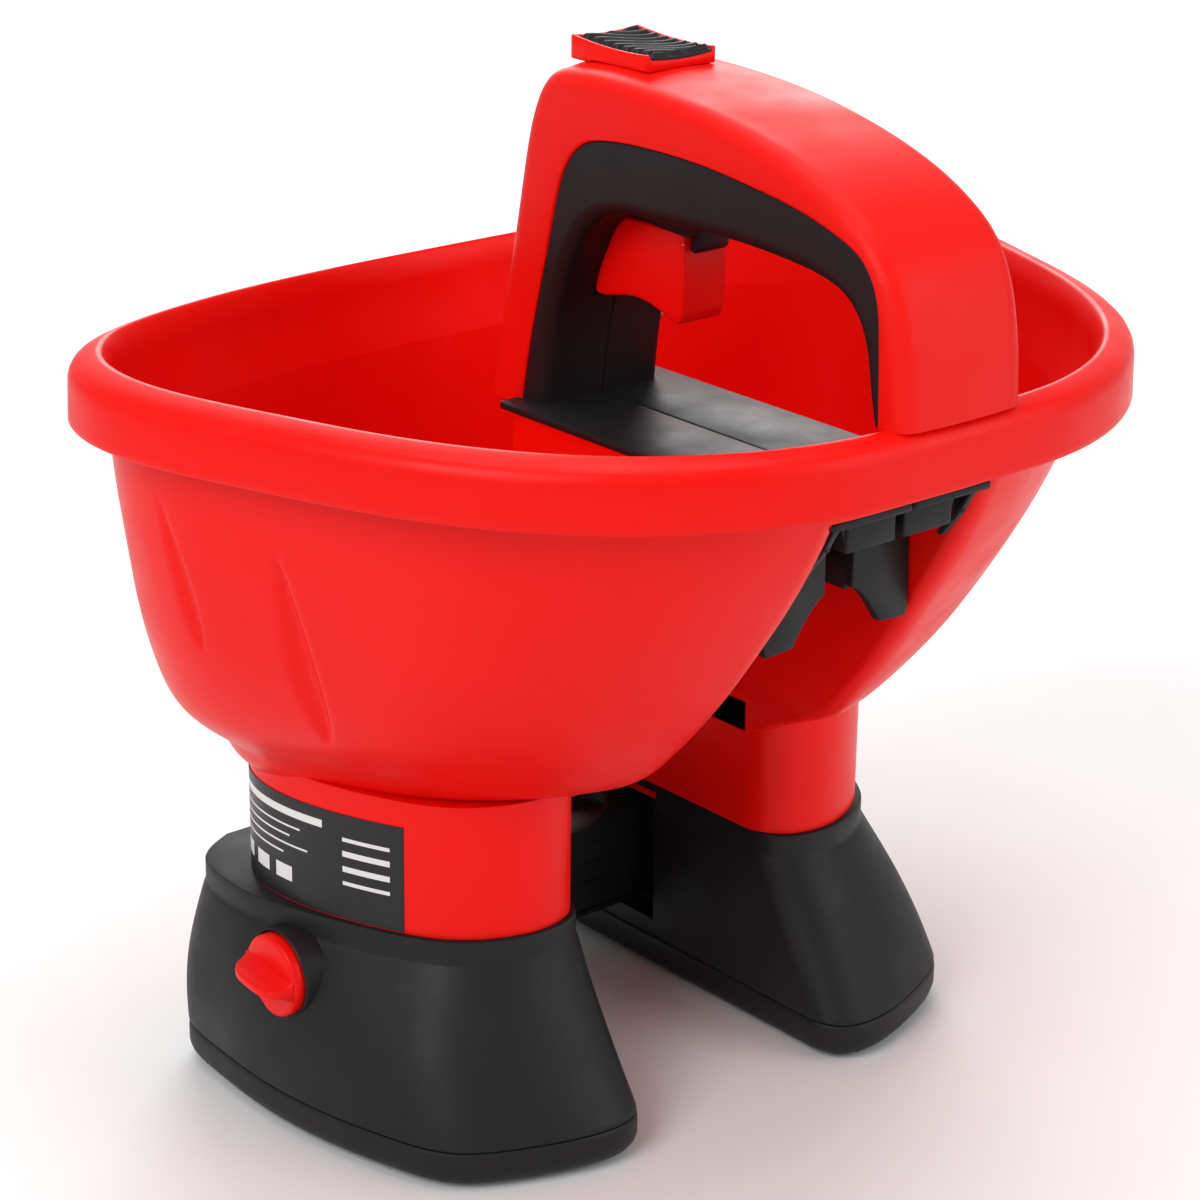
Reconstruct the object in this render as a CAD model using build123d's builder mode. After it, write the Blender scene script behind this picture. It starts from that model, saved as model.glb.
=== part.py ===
"""Hand-held, battery-powered seed and salt spreader.

A D-shaped hopper stands on two feet and is carried by an arched handle. A notch for the user's leg runs up
between the feet. The flow slide on the handle lifts a plug off the outlet, and the trigger runs the motor
that turns the spinner disc under the outlet. Millimetres, +Z up, +Y is the throwing direction, X = 0 is the
plane of symmetry and Z = 0 is the floor.
"""
import math
import os

from build123d import *

os.makedirs("parts", exist_ok=True)

# ---- driving dimensions --------------------------------------------------------------------------------
rim_half_width = 165.0
rim_front, rim_back, rim_widest = -118.0, 117.5, 47.0
rim_top, skirt_bottom = 243.0, 224.7
wall = 2.5
floor_height = 108.0
neck_bottom = 69.3
notch_half_width = 38.4
notch_back = 36.0
notch_top = 212.9
notch_depth = 170.0
plate_top = 215.3
foot_joint = 13.3
foot_collar = 62.0
foot_back = 107.5
sole_bottom = 1.0
handle_half_width = 24.0
handle_skin = 2.6
spinner_centre = (0.0, 81.0)
spinner_radius = 35.0
outlet_centre = (0.0, 70.0)
outlet_radius = 11.0
rod_y = 43.0
rod_radius = 2.0
flow_lift = 8.0
flow_travel = 10.0
knob_centre = (47.0, 49.6)
knob_radius = 15.0
clearance = 0.3

# The plan of the bowl, right half, front to back: a fraction of the half width, and a fraction of the
# distance from the widest line to the front (negative) or the back (positive).
bowl_plan = [(0, -1), (0.267, -0.988), (0.521, -0.891), (0.709, -0.727), (0.848, -0.497), (0.93, -0.28),
             (1, 0), (0.962, 0.45), (0.88, 0.68), (0.74, 0.83), (0.51, 0.945), (0, 1)]
# Levels of the bowl's outer face: height, half width, widest line, front and back.
bowl_levels = [(108, 106, 66, -12, 104), (118, 114, 63, -33, 106), (130, 128, 60, -45, 108),
               (145, 137, 57, -57, 109), (165, 143.5, 54, -71, 110), (185, 147.5, 52, -84, 110.5),
               (215, 152, 50, -99.5, 111.5), (rim_top, 153, 49, -109.5, 113)]
# Half widths of the notch by height, from the floor up.
notch_profile = [(60, 38.4), (115, 38.4), (119, 36.9), (125, 34.7), (135, 32.7), (155, 30.6),
                 (185, 28.9), (notch_top, 27.7)]
# Outlines of the right foot and neck, from the inner front corner round the outside to the back.
foot_low = [(38.4, -34), (43, -40.2), (60, -39.5), (84, -32.5), (102, -21), (110, -4), (116, 23),
            (117, 50), (115, 79), (108, 98), (94, foot_back)]
foot_high = [(38.4, -5), (47, -10.5), (58.7, -12.5), (73, -9), (87, 1), (95, 14), (105, 38),
             (112, 62), (112, 78), (106, 94), (92, foot_back - 2)]
neck_outline = [(38.4, -2.5), (47, -8), (58.7, -10.3), (71.5, -7), (84, 1.5), (92.5, 14), (102, 37),
                (107, 66), (106, 83), (98, 96), (86, 102)]
# Side profiles of the handle on X = 0, as (y, z): the outer face, the seam between the outer shell and
# the inner liner, and the inner face round the hand.
handle_outer = [(61, 213.3), (58, 232), (54, 250), (49.5, 271), (45.5, 291), (41, 307), (34.5, 316.5),
                (24, 319.3), (0, 319.6), (-24, 318), (-56, 312.5), (-75, 307), (-90, 300.5),
                (-102, 292), (-110, 281.5), (-114, 270), (-116.3, 256), (-117, 243.3)]
handle_seam = [(43, 213.3), (40, 230), (36, 247), (32, 262), (28, 278), (24, 289), (17, 297),
               (5, 300.5), (-15, 301.5), (-40, 300.5), (-57, 298.5), (-73, 296), (-88, 292),
               (-101, 286.5), (-107, 279), (-110.5, 268), (-112, 255), (-112.2, 243.3)]
handle_inner = [(33, 215.3), (31, 232), (27, 250), (22, 263), (15, 273), (5, 278.5), (-10, 280),
                (-50, 281), (-67, 280), (-82, 278), (-93, 274), (-99, 268), (-102.5, 260),
                (-104.5, 250), (-105, 243.3)]


def shifted(points, distance):
    """Move each point of an open outline to its left by the given distance."""
    moved = []
    last = len(points) - 1
    for index, (x, y) in enumerate(points):
        before = points[max(index - 1, 0)]
        after = points[min(index + 1, last)]
        run = (after[0] - before[0], after[1] - before[1])
        length = math.hypot(*run)
        moved.append((x - run[1] / length * distance, y + run[0] / length * distance))
    return moved


def bowl_sketch(height, half_width, widest, front, back):
    """A closed D-shaped section at a height."""
    points = [(u * half_width, widest + v * (widest - front if v < 0 else back - widest))
              for u, v in bowl_plan]
    with BuildSketch(Plane.XY.offset(height)) as section:
        with BuildLine():
            Spline(*points, tangents=[(1, 0), (-1, 0)])
            mirror(about=Plane.YZ)
        make_face()
    return section.sketch


def side_sketch(plane, outline, inner_x, back_y, side):
    """A foot or neck section: a curved outer outline closed by the inner and the back wall."""
    points = [(side * x, y) for x, y in outline]
    with BuildSketch(plane) as section:
        with BuildLine():
            Spline(*points)
            Line(points[-1], (side * (inner_x + 6), back_y))
            Line((side * (inner_x + 6), back_y), (side * inner_x, back_y - 6))
            Line((side * inner_x, back_y - 6), points[0])
        make_face()
    return section.sketch


def level_inset(level, inset):
    height, half_width, widest, front, back = level
    return height, half_width - inset, widest, front + inset, back - inset


def notch_sketch(growth, top):
    """Section of the notch across X at its back wall, grown outwards by the wall thickness where asked."""
    right = [(half + growth, height) for height, half in notch_profile[:-1]]
    right.append((notch_profile[-1][1] + growth, top))
    left = [(-half, height) for half, height in reversed(right)]
    with BuildSketch(Plane.XZ.offset(-notch_back - growth)) as section:
        with BuildLine():
            Polyline(*right, *left, close=True)
        make_face()
    return section.sketch


def finish(part, name):
    part.label = name
    export_step(part, f"parts/{name}.step")


# ---- hopper: bowl, rolled rim, notch walls, outlet funnel and two necks ----------------------------------
with BuildPart() as bowl_body:
    for level in bowl_levels:
        add(bowl_sketch(*level))
    loft()

inner_lip = (rim_top + 1, 148.5, 49, -105.3, 110.5)
with BuildPart() as bowl_space:
    for level in [level_inset(level, wall) for level in bowl_levels[:-1]]:
        height = level[0] + (wall if level[0] == floor_height else 0)
        add(bowl_sketch(height, *level[1:]))
    add(bowl_sketch(*inner_lip))
    loft()

with BuildPart() as notch_walls:
    extrude(notch_sketch(wall, notch_top), amount=notch_depth, dir=(0, -1, 0))
    add(bowl_body.part, mode=Mode.INTERSECT)

conduit_half, conduit_bottom = 6.0, 125.0
seat_half, seat_back = 27.0, 63.0
with BuildPart() as hopper:
    add(bowl_sketch(skirt_bottom, rim_half_width, rim_widest, rim_front, rim_back))
    add(bowl_sketch(rim_top - 5, rim_half_width - 1.5, rim_widest, rim_front + 0.4, rim_back - 0.3))
    loft()
    add(bowl_sketch(rim_top - 5, rim_half_width - 1.5, rim_widest, rim_front + 0.4, rim_back - 0.3))
    add(bowl_sketch(rim_top, rim_half_width - 6, rim_widest, rim_front + 3.5, rim_back - 2))
    loft()
    add(bowl_sketch(skirt_bottom, rim_half_width - wall, rim_widest, rim_front + wall, rim_back - wall))
    add(bowl_sketch(rim_top - wall - 2, rim_half_width - wall - 3, rim_widest, rim_front + wall + 2,
                    rim_back - wall - 1))
    loft(mode=Mode.SUBTRACT)
    add(bowl_body.part)
    for side in (-1, 1):
        add(side_sketch(Plane.XY.offset(neck_bottom), neck_outline, notch_half_width, 102, side))
    extrude(amount=52)
    for side in (-1, 1):
        spigot = shifted(neck_outline, 3.2)
        add(side_sketch(Plane.XY.offset(foot_collar - 4), spigot, notch_half_width + 3.2, 98.8, side))
    extrude(amount=12)
    for side in (-1, 1):
        hollow = shifted(neck_outline, 3.2 + wall)
        add(side_sketch(Plane.XY.offset(foot_collar - 5), hollow, notch_half_width + 6, 96, side))
    extrude(amount=46, mode=Mode.SUBTRACT)
    with BuildSketch(Plane.XY.offset(94)):
        with Locations(outlet_centre):
            Circle(16)
    extrude(amount=14, taper=-35)
    with Locations((0, 84, (foot_collar - 5 + neck_bottom) / 2)):
        Box(2 * (notch_half_width + 11), 80, neck_bottom - foot_collar + 5, mode=Mode.SUBTRACT)
    add(bowl_space.part, mode=Mode.SUBTRACT)
    with BuildSketch(Plane.XY.offset(96.5)):
        with Locations(outlet_centre):
            Circle(outlet_radius)
    extrude(amount=18, taper=-42, mode=Mode.SUBTRACT)
    with Locations((*outlet_centre, 95)):
        Cylinder(outlet_radius, 6, mode=Mode.SUBTRACT)
    add(notch_walls.part)
    with Locations((0, (notch_back + rod_y + conduit_half) / 2, (notch_top + conduit_bottom) / 2)):
        Box(2 * conduit_half, rod_y + conduit_half - notch_back, notch_top - conduit_bottom)
    with Locations((0, (notch_back + seat_back) / 2, notch_top - 3)):
        Box(2 * seat_half, seat_back - notch_back, 6)
    extrude(notch_sketch(0, notch_top + 0.1), amount=notch_depth, dir=(0, -1, 0), mode=Mode.SUBTRACT)
    with Locations((0, rod_y, (floor_height + wall + notch_top + 5) / 2)):
        Cylinder(rod_radius + clearance, notch_top + 5 - floor_height - wall, mode=Mode.SUBTRACT)
finish(hopper.part, "hopper")
print("hopper solids", len(hopper.part.solids()), "bowl litres", bowl_space.part.volume / 1e6)

# ---- handle: outer shell, two liner halves with the plate over the notch ---------------------------------
plate_half, plate_front, plate_back = 29.5, -94.0, 41.5


def side_profile(first, second, width):
    """Solid between two (y, z) curves, from -width to +width across X."""
    with BuildPart() as body:
        with BuildSketch(Plane.YZ) as section:
            with BuildLine():
                Spline(*first)
                Line(first[-1], second[-1])
                Spline(*second)
                Line(second[0], first[0])
            make_face()
        extrude(section.sketch, amount=width, dir=(1, 0, 0), both=True)
    return body.part


space_foot = 205.0
handle_space = side_profile([(handle_outer[0][0] - 2, space_foot)] + shifted(handle_outer, handle_skin),
                            [(handle_inner[0][0] + 2.9, space_foot)] + shifted(handle_inner, -handle_skin),
                            handle_half_width - handle_skin)
slide_slot = (-6.0, 22.0)
trigger_slot = (-12.5, 30.0)
trigger_slot_heights = (245.5, 291.0)
spring_seat_top = 288.0
switch_side, switch_width, button_x = 12.0, 6.4, 6.4
handle_screw_places = [(-40, 290.5), (-78, 287.5), (34.8, 236)]
screw_radius, boss_radius = 1.5, 3.6

with BuildPart() as handle_shell:
    add(side_profile(handle_outer, shifted(handle_seam, -clearance / 3), handle_half_width))
    add(handle_space, mode=Mode.SUBTRACT)
    with Locations((0, sum(slide_slot) / 2, 318)):
        Box(9, slide_slot[1] - slide_slot[0], 16, mode=Mode.SUBTRACT)
finish(handle_shell.part, "handle_shell")

liner_body = side_profile(handle_seam, handle_inner, handle_half_width)
for side, name in ((-1, "left"), (1, "right")):
    with BuildPart() as liner:
        add(liner_body)
        add(handle_space, mode=Mode.SUBTRACT)
        with Locations((0, (plate_front + plate_back) / 2, (notch_top + plate_top) / 2 + 0.05)):
            Box(2 * plate_half, plate_back - plate_front, plate_top - notch_top - 0.1)
        with Locations((0, rod_y - 1, 216)):
            Box(12, 9, 8, mode=Mode.SUBTRACT)
        with Locations((0, sum(trigger_slot) / 2, sum(trigger_slot_heights) / 2)):
            Box(19, trigger_slot[1] - trigger_slot[0], trigger_slot_heights[1] - trigger_slot_heights[0],
                mode=Mode.SUBTRACT)
        for y, z in handle_screw_places:
            with Locations((0, y, z)):
                Cylinder(boss_radius, 2 * handle_half_width - 2, rotation=(0, 90, 0))
        if side < 0:
            with Locations((-11.3, 14, spring_seat_top + 1)):
                Box(20.4, 8, 2)
        else:
            with Locations(((switch_side + handle_half_width - handle_skin) / 2, 2, 291)):
                Box(handle_half_width - handle_skin - switch_side, 14, 3)
        for y, z in handle_screw_places:
            with Locations((8, y, z)):
                Cylinder(screw_radius + 0.05, 42, rotation=(0, 90, 0), mode=Mode.SUBTRACT)
            with Locations((handle_half_width, y, z)):
                Cylinder(2.9, 5, rotation=(0, 90, 0), mode=Mode.SUBTRACT)
        with Locations((side * 100, 0, 250)):
            Box(200 - 0.1, 400, 200, mode=Mode.INTERSECT)
    finish(liner.part, f"handle_liner_{name}")

with BuildPart() as handle_screws:
    for y, z in handle_screw_places:
        with Locations((4.6, y, z)):
            Cylinder(screw_radius, 34.8, rotation=(0, 90, 0))
        with Locations((handle_half_width - 1.6, y, z)):
            Cylinder(2.7, 1.8, rotation=(0, 90, 0))
finish(handle_screws.part, "handle_screws")

# The braces hang from the plate inside the notch and clip the handle to its walls.
for side, name in ((-1, "left"), (1, "right")):
    with BuildPart() as brace:
        with Locations((side * 13.8, -90.5, 208)):
            Box(24.6, 7, 9.4)
        with Locations((side * 25.4, -77, 208)):
            Box(2.2, 34, 9.4)
        with BuildSketch(Plane.XZ.offset(68)) as gusset:
            with BuildLine():
                Polyline((side * 5.6, 212.7), (side * 5.6, 179))
                ThreePointArc((side * 5.6, 179), (side * 14.5, 176), (side * 20.5, 167.5))
                Polyline((side * 20.5, 167.5), (side * 28.8, 167), (side * 27, 212.7), (side * 5.6, 212.7))
            make_face()
        extrude(gusset.sketch, amount=3, dir=(0, -1, 0))
        with Locations((side * 26.4, -66, 190)):
            Box(2.2, 10, 45.4)
    finish(brace.part, f"notch_brace_{name}")

# ---- trigger, its bezel, pivot pin, spring and switch ----------------------------------------------------
trigger_pivot = (-9.5, 271.0)
trigger_half_width = 8.5
with BuildPart() as trigger:
    with BuildSketch(Plane.YZ) as side_view:
        with BuildLine():
            Polyline((-13.5, 275), (-15.2, 262), (-14.8, 247.5))
            ThreePointArc((-14.8, 247.5), (4, 252), (23, 248.5))
            Polyline((23, 248.5), (22, 258), (18, 271.5), (18, 274.5), (-13.5, 275))
        make_face()
    extrude(side_view.sketch, amount=trigger_half_width, dir=(1, 0, 0), both=True)
    fillet(trigger.edges().filter_by(Axis.X).group_by(Axis.Z)[0], 1.5)
    with Locations((0, trigger_pivot[0], trigger_pivot[1])):
        Cylinder(1.55, 40, rotation=(0, 90, 0), mode=Mode.SUBTRACT)
    with Locations((button_x, 3, 277.7)):
        Box(4, 5, 6.6)
finish(trigger.part, "trigger")

trigger_pin_radius = 1.5
with BuildPart() as trigger_pin:
    with Locations((0, trigger_pivot[0], trigger_pivot[1])):
        Cylinder(trigger_pin_radius, 24, rotation=(0, 90, 0))
finish(trigger_pin.part, "trigger_pin")

# The bezel frames the trigger under the bar and carries the ears of the pivot pin.
with BuildPart() as trigger_bezel:
    with Locations((0, 0, 278.6)):
        Box(22, 42, 2.4)
    with Locations((0, -18, 271.5)):
        Box(20, 4.4, 12)
    for side in (-1, 1):
        with Locations((side * 10.2, trigger_pivot[0], 273.5)):
            Box(2.6, 7, 8.5)
    with Locations((0, 3, 279)):
        Box(17.8, 32.6, 8, mode=Mode.SUBTRACT)
    with Locations((0, trigger_pivot[0], trigger_pivot[1])):
        Cylinder(1.55, 30, rotation=(0, 90, 0), mode=Mode.SUBTRACT)
    add(liner_body, mode=Mode.SUBTRACT)
finish(trigger_bezel.part, "trigger_bezel")

with BuildPart() as trigger_spring:
    with BuildLine() as coil:
        Helix(pitch=2.4, height=spring_seat_top - 276.4, radius=2.4, center=(-4.5, 14, 275.6))
    with BuildSketch(Plane(origin=coil.line @ 0, z_dir=coil.line % 0)):
        Circle(0.4)
    sweep(is_frenet=True)
finish(trigger_spring.part, "trigger_spring")

with BuildPart() as microswitch:
    with Locations((switch_side - switch_width / 2, 2, 291)):
        Box(switch_width, 19.8, 10.2)
    with Locations((button_x, 3, 284.5)):
        Box(2.6, 3, 3)
    for offset in (-7, 0, 7):
        with Locations((switch_side - switch_width / 2, 2 + offset, 297.5)):
            Box(0.8, 3, 3.2)
finish(microswitch.part, "microswitch")

# ---- flow slide: frame, ribbed pad and inner carriage with its cam slot -----------------------------------
slide_front, slide_back, slide_half, slide_bottom = 0.0, 34.5, 13.0, 320.1
cam_start = (28.0, 286.0)
cam_end = (cam_start[0] + flow_travel, cam_start[1] + flow_lift)
with BuildPart() as slide_frame:
    with Locations((0, (slide_front + slide_back) / 2, slide_bottom + 2.3)):
        Box(2 * slide_half, slide_back - slide_front, 4.6)
    fillet(slide_frame.edges().filter_by(Axis.Z), 1.2)
    with Locations((0, (slide_front + slide_back) / 2, slide_bottom + 4)):
        Box(2 * slide_half - 3, slide_back - slide_front - 3, 4.6, mode=Mode.SUBTRACT)
    with Locations((0, 13, slide_bottom)):
        Box(6.2, 9.2, 8, mode=Mode.SUBTRACT)
finish(slide_frame.part, "slide_frame")

with BuildPart() as slide_pad:
    with Locations((0, (slide_front + slide_back) / 2, slide_bottom + 3.7)):
        Box(2 * slide_half - 3.1, slide_back - slide_front - 3.1, 3.6)
    with GridLocations(0, 4.6, 1, 6):
        with Locations((0, (slide_front + slide_back) / 2, slide_bottom + 6.2)):
            Box(2 * slide_half - 5, 2.2, 1.8)
finish(slide_pad.part, "slide_pad")

with BuildPart() as slide_carriage:
    with Locations((0, 13, 317.5)):
        Box(6, 9, 9)
    with BuildSketch(Plane.YZ.offset(2.6)) as cam_plate:
        with BuildLine():
            Polyline((8.5, 314), (8.5, 304), (23, 289), (23.5, 282.6), (30, 282.6), (41.6, 291.5),
                     (40.5, 297.5), (30, 304), (17.5, 314), close=True)
        make_face()
    extrude(cam_plate.sketch, amount=2.4, dir=(1, 0, 0))
    cam_angle = math.degrees(math.atan2(flow_lift, flow_travel))
    cam_middle = ((cam_start[0] + cam_end[0]) / 2, (cam_start[1] + cam_end[1]) / 2)
    with BuildSketch(Plane.YZ.offset(2)) as cam_slot:
        with Locations(cam_middle):
            SlotCenterToCenter(math.hypot(flow_lift, flow_travel), 3.4, rotation=cam_angle)
    extrude(cam_slot.sketch, amount=4, dir=(1, 0, 0), mode=Mode.SUBTRACT)
finish(slide_carriage.part, "slide_carriage")

# ---- flow rod and plug -------------------------------------------------------------------------------------
arm_height = 113.7
with BuildPart() as flow_rod:
    with Locations((0, rod_y, (arm_height + 256) / 2)):
        Cylinder(rod_radius, 256 - arm_height)
    with BuildSketch(Plane.YZ.offset(-1.5)) as top_arm:
        with BuildLine():
            Polyline((rod_y - 2, 248), (rod_y + 2, 248), (rod_y + 2, 260), (31, 289), (25, 289),
                     (25, 283.5), (rod_y - 2, 259), close=True)
        make_face()
    extrude(top_arm.sketch, amount=3, dir=(1, 0, 0))
    with Locations((3, *cam_start)):
        Cylinder(1.5, 6, rotation=(0, 90, 0))
    with Locations((0, (rod_y + outlet_centre[1]) / 2, arm_height)):
        Box(4, outlet_centre[1] - rod_y, 3)
finish(flow_rod.part, "flow_rod")

with BuildPart() as flow_plug:
    with Locations((*outlet_centre, 98.5)):
        Cone(outlet_radius - 2.5, outlet_radius + 1.5, 6)
    with Locations((*outlet_centre, (101 + arm_height) / 2 + 1)):
        Cylinder(4, arm_height - 99)
    add(flow_rod.part, mode=Mode.SUBTRACT)
finish(flow_plug.part, "flow_plug")

# ---- feet, soles and pads ------------------------------------------------------------------------------------
recess_depth, recess_front, recess_bottom, recess_top = 8.0, 48.5, 20.0, 66.0
battery_hole = (51.0, 93.0, 17.5, 57.5)
foot_screw_places = [(43.6, -16), (98, -12), (107.3, 84), (43.6, 34)]
foot_boss_top = 21.0
pad_places = [(60, -10), (92, 30), (58, 88)]
pad_radius, pad_thickness = 6.0, 2.0
neck_socket_depth = 6.0


def foot_loft(inset, low, high, mode=Mode.ADD, side=1):
    """Outer or inner volume of a foot between its joint with the sole and its top."""
    inner, back = notch_half_width + inset, foot_back - inset
    lower = side_sketch(Plane.XY.offset(low), shifted(foot_low, inset), inner, back, side)
    upper = side_sketch(Plane.XY.offset(foot_collar), shifted(foot_high, inset), inner, back - 2, side)
    add([lower, upper])
    loft(mode=mode)
    extrude(side_sketch(Plane.XY.offset(foot_collar), shifted(foot_high, inset), inner, back - 2, side),
            amount=high - foot_collar, dir=(0, 0, 1), mode=mode)


x0, x1, z0, z1 = battery_hole
door_hinge = (foot_back - 2.2, z0 + 2.6)
door_pin_radius = 1.0
feet = {}
for side, name in ((-1, "left"), (1, "right")):
    with BuildPart() as foot_space:
        foot_loft(wall, foot_joint, neck_bottom - wall, side=side)
        with Locations((side * (notch_half_width + recess_depth / 2), 80, (recess_top + 12) / 2)):
            Box(recess_depth + 2 * wall, 2 * (80 - recess_front + wall), recess_top - 12 + 2 * wall,
                mode=Mode.SUBTRACT)
    with BuildPart() as foot:
        foot_loft(0, foot_joint, neck_bottom, side=side)
        add(foot_space.part, mode=Mode.SUBTRACT)
        with Locations((side * (notch_half_width + recess_depth / 2 - 5), 90, (recess_top + recess_bottom) / 2)):
            Box(recess_depth + 10, 2 * (90 - recess_front), recess_top - recess_bottom, mode=Mode.SUBTRACT)
        socket = shifted(neck_outline, 3)
        extrude(side_sketch(Plane.XY.offset(foot_collar - neck_socket_depth), socket, notch_half_width + 3, 99,
                            side), amount=20, dir=(0, 0, 1), mode=Mode.SUBTRACT)
        if side < 0:
            with Locations((-114, knob_centre[0], knob_centre[1])):
                Cylinder(knob_radius + 0.6, 6, rotation=(0, 90, 0), mode=Mode.SUBTRACT)
                Cylinder(4.3, 20, rotation=(0, 90, 0), mode=Mode.SUBTRACT)
            with Locations((-108.5, knob_centre[0], knob_centre[1])):
                Cylinder(knob_radius + 3, 5, rotation=(0, 90, 0))
            with Locations((-114, knob_centre[0], knob_centre[1])):
                Cylinder(knob_radius + 0.6, 7, rotation=(0, 90, 0), mode=Mode.SUBTRACT)
                Cylinder(4.3, 20, rotation=(0, 90, 0), mode=Mode.SUBTRACT)
        else:
            with Locations(((x0 + x1) / 2, foot_back - 4, (z0 + z1) / 2)):
                Box(x1 - x0, 14, z1 - z0, mode=Mode.SUBTRACT)
        for x, y in foot_screw_places:
            with Locations((side * x, y, (foot_joint + foot_boss_top) / 2)):
                Cylinder(boss_radius - 0.1, foot_boss_top - foot_joint)
                Cylinder(screw_radius + 0.05, foot_boss_top - foot_joint + 1, mode=Mode.SUBTRACT)
        if side > 0:
            with Locations(((x0 + x1) / 2, *door_hinge)):
                Cylinder(door_pin_radius, x1 - x0 + 4, rotation=(0, 90, 0), mode=Mode.SUBTRACT)
    feet[side] = foot
    finish(foot.part, f"foot_{name}")

sole_round = 5.0
for side, name in ((-1, "left"), (1, "right")):
    with BuildPart() as sole:
        extrude(side_sketch(Plane.XY.offset(sole_bottom), foot_low, notch_half_width, foot_back, side),
                amount=foot_joint - sole_bottom, dir=(0, 0, 1))
        fillet(sole.edges().group_by(Axis.Z)[0], sole_round)
        pocket = shifted(foot_low, 2 * wall)
        extrude(side_sketch(Plane.XY.offset(sole_bottom + 3), pocket, notch_half_width + 2 * wall,
                            foot_back - 2 * wall, side), amount=20, dir=(0, 0, 1), mode=Mode.SUBTRACT)
        for x, y in foot_screw_places:
            with Locations((side * x, y, (sole_bottom + foot_joint) / 2)):
                Cylinder(4.5, foot_joint - sole_bottom)
            with Locations((side * x, y, foot_joint)):
                Cylinder(screw_radius + 0.05, 40, mode=Mode.SUBTRACT)
            with Locations((side * x, y, sole_bottom + 2)):
                Cylinder(3.0, 5, mode=Mode.SUBTRACT)
        for x, y in pad_places:
            with Locations((side * x, y, sole_bottom)):
                Cylinder(pad_radius + 0.1, pad_thickness, mode=Mode.SUBTRACT)
    finish(sole.part, f"sole_{name}")
    with BuildPart() as pads:
        for x, y in pad_places:
            with Locations((side * x, y, pad_thickness / 2)):
                Cylinder(pad_radius, pad_thickness)
    finish(pads.part, f"foot_pads_{name}")
    with BuildPart() as screws:
        for x, y in foot_screw_places:
            with Locations((side * x, y, (4 + foot_boss_top) / 2)):
                Cylinder(screw_radius, foot_boss_top - 4)
            with Locations((side * x, y, 4)):
                Cylinder(2.8, 1.8)
    finish(screws.part, f"foot_screws_{name}")

# ---- motor pod between the feet, motor, shaft, bush and spinner ----------------------------------------------
pod_top, pod_bottom, pod_depth = 58.0, 24.0, 40.0
pod_half = notch_half_width + recess_depth - clearance
motor_radius, shaft_radius = 12.2, 1.5
with BuildPart() as motor_pod:
    with Locations((0, spinner_centre[1], (pod_top + pod_bottom) / 2)):
        Box(2 * pod_half, pod_depth, pod_top - pod_bottom)
    fillet(motor_pod.edges().filter_by(Axis.X), 4)
    with Locations((0, spinner_centre[1], (pod_top + pod_bottom) / 2 - wall)):
        Box(2 * (pod_half - wall), pod_depth - 2 * wall, pod_top - pod_bottom, mode=Mode.SUBTRACT)
    with Locations((*spinner_centre, 41)):
        Cylinder(motor_radius + wall, 30)
    with Locations((*spinner_centre, 38)):
        Cylinder(motor_radius + 0.1, 34, mode=Mode.SUBTRACT)
    with Locations((*spinner_centre, pod_top)):
        Cylinder(5.1, 12, mode=Mode.SUBTRACT)
    for side in (-1, 1):
        with Locations((side * 44, spinner_centre[1], 46)):
            Box(8, 8, 10, mode=Mode.SUBTRACT)
finish(motor_pod.part, "motor_pod")

with BuildPart() as motor_pod_cover:
    with Locations((0, spinner_centre[1], pod_bottom - 1)):
        Box(2 * pod_half, pod_depth, 2)
    fillet(motor_pod_cover.edges().filter_by(Axis.Z), 3)
    with Locations((*spinner_centre, pod_bottom - 1)):
        with GridLocations(0, 4, 1, 5):
            Box(16, 1.6, 4, mode=Mode.SUBTRACT)
finish(motor_pod_cover.part, "motor_pod_cover")

with BuildPart() as motor:
    with Locations((*spinner_centre, 39)):
        Cylinder(motor_radius, 28)
    fillet(motor.edges().filter_by(GeomType.CIRCLE), 1)
    with Locations((*spinner_centre, 54)):
        Cylinder(3, 3)
    with Locations((*spinner_centre, 40)):
        Cylinder(shaft_radius + 0.05, 40, mode=Mode.SUBTRACT)
    for side in (-1, 1):
        with Locations((side * 8, spinner_centre[1], 25.7)):
            Box(2.4, 0.6, 3)
finish(motor.part, "motor")

with BuildPart() as shaft_bush:
    with Locations((*spinner_centre, 57.5)):
        Cylinder(5, 4)
        Cylinder(shaft_radius + 0.05, 20, mode=Mode.SUBTRACT)
finish(shaft_bush.part, "shaft_bush")

with BuildPart() as spinner_shaft:
    with Locations((*spinner_centre, 50)):
        Cylinder(shaft_radius, 44)
finish(spinner_shaft.part, "spinner_shaft")

disc_height, vane_count = 63.5, 6
with BuildPart() as spinner_disc:
    with Locations((*spinner_centre, disc_height)):
        Cylinder(spinner_radius, 2)
    with Locations((*spinner_centre, disc_height + 3.5)):
        Cylinder(6, 9)
    with Locations(Location((*spinner_centre, disc_height + 3.5))):
        with PolarLocations((spinner_radius + 9) / 2, vane_count):
            Box(spinner_radius - 9, 1.8, 6)
    with Locations((*spinner_centre, 60)):
        Cylinder(shaft_radius, 24, mode=Mode.SUBTRACT)
finish(spinner_disc.part, "spinner_disc")

# ---- speed knob, its ring and potentiometer, control board ---------------------------------------------------
knob_face = -116.6
with BuildPart() as speed_knob:
    with Locations((knob_face + 1.6, *knob_centre)):
        Cylinder(knob_radius - 1.9, 4.8, rotation=(0, 90, 0))
    with Locations((knob_face - 4.6, *knob_centre)):
        Box(9.4, 25, 7)
    fillet(speed_knob.edges().filter_by(Axis.X), 1.5)
    with Locations((-105.5, *knob_centre)):
        Cylinder(3, 21, rotation=(0, 90, 0))
finish(speed_knob.part, "speed_knob")

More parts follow.
